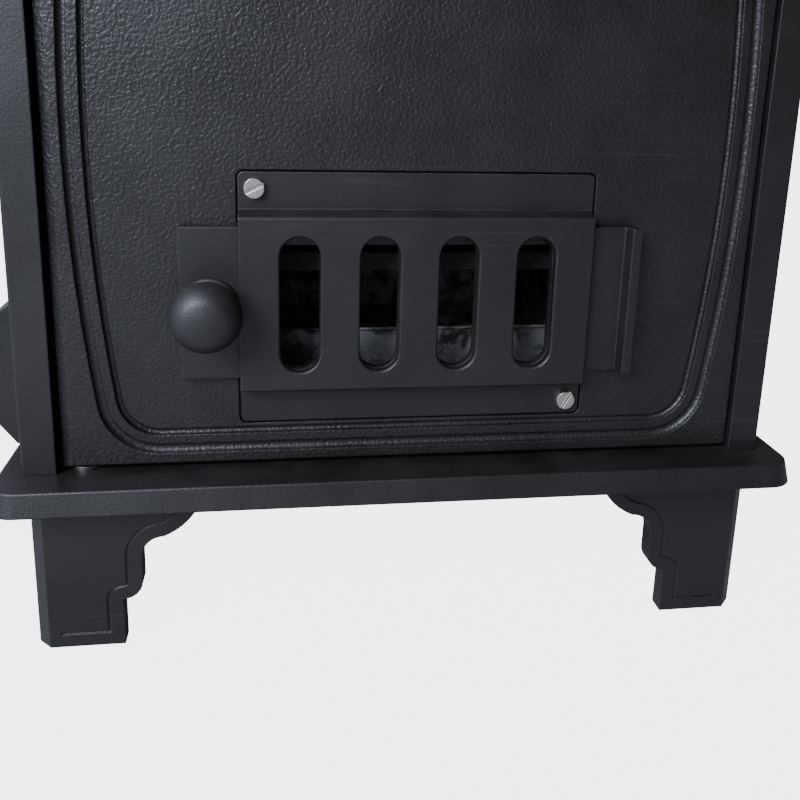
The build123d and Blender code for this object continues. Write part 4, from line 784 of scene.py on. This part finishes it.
def backdrop():
    """Pale floor that glows to the eye and sends little light back."""
    material, tree, shader, vector = start_material("pale_floor")
    cloud = noise(tree, vector, 3.0, 3.0, 0.5)
    wire(tree, blend_colour(tree, cloud, *FLOOR_TONES), shader.inputs["Base Color"])
    shader.inputs["Roughness"].default_value = 0.8
    glow = add_node(tree, "Emission")
    glow.inputs["Strength"].default_value = FLOOR_GLOW
    seen = add_node(tree, "LightPath")
    mix = add_node(tree, "MixShader")
    share = maths(tree, "MULTIPLY", seen.outputs["Is Camera Ray"], FLOOR_GLOW_SHARE)
    wire(tree, share, mix.inputs[0])
    wire(tree, shader.outputs[0], mix.inputs[1])
    wire(tree, glow.outputs[0], mix.inputs[2])
    wire(tree, mix.outputs[0], tree.nodes["Material Output"].inputs["Surface"])
    mesh = bpy.data.meshes.new("studio_floor")
    shape = bmesh.new()
    bmesh.ops.create_grid(shape, x_segments=1, y_segments=1, size=FLOOR_REACH)
    shape.to_mesh(mesh)
    shape.free()
    mesh.materials.append(material)
    floor = bpy.data.objects.new("studio_floor", mesh)
    bpy.context.scene.collection.objects.link(floor)


def window_light():
    """One large cool window, upper left and in front."""
    data = bpy.data.lights.new("window_box", "AREA")
    data.shape = "RECTANGLE"
    data.size, data.size_y = WINDOW_SIZE
    data.energy = WINDOW_POWER
    data.color = WINDOW_COLOUR
    lamp = bpy.data.objects.new("window_box", data)
    direction = Vector(WINDOW_AIM) - Vector(WINDOW_PLACE)
    lamp.rotation_euler = direction.to_track_quat("-Z", "Y").to_euler()
    lamp.location = WINDOW_PLACE
    bpy.context.scene.collection.objects.link(lamp)


def room_light():
    """Soft room: dim on the right, cooler and brighter on the left, white as a backdrop."""
    world = bpy.data.worlds.new("studio_air")
    world.use_nodes = True
    tree = world.node_tree
    room = tree.nodes["Background"]
    parts = add_node(tree, "SeparateXYZ")
    wire(tree, add_node(tree, "TexCoord").outputs["Generated"], parts.inputs[0])
    side = remap(tree, parts.outputs["X"], -0.9, 0.35, 1.0, 0.0)
    wire(tree, blend_colour(tree, side, ROOM_DIM, ROOM_BRIGHT), room.inputs["Color"])
    backdrop_white = add_node(tree, "Background")
    backdrop_white.inputs["Strength"].default_value = BACKDROP_GLOW
    seen = add_node(tree, "LightPath")
    mix = add_node(tree, "MixShader")
    wire(tree, seen.outputs["Is Camera Ray"], mix.inputs[0])
    wire(tree, room.outputs[0], mix.inputs[1])
    wire(tree, backdrop_white.outputs[0], mix.inputs[2])
    wire(tree, mix.outputs[0], tree.nodes["World Output"].inputs["Surface"])
    bpy.context.scene.world = world


def viewpoint():
    """Low camera close to the door, turned a little to the right and down."""
    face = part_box("front_frame")[0]
    data = bpy.data.cameras.new("door_camera")
    data.lens = CAMERA_LENS
    data.sensor_width = CAMERA_SENSOR
    data.shift_y = CAMERA_SHIFT_Y
    data.clip_start = 0.01
    camera = bpy.data.objects.new("door_camera", data)
    stand = Matrix.Translation((CAMERA_X, face.y - CAMERA_REACH, CAMERA_Z))
    for angle, axis in CAMERA_TURNS:
        stand = stand @ Matrix.Rotation(math.radians(angle), 4, axis)
    camera.matrix_world = stand
    bpy.context.scene.collection.objects.link(camera)
    bpy.context.scene.camera = camera


backdrop()
room_light()
window_light()
viewpoint()
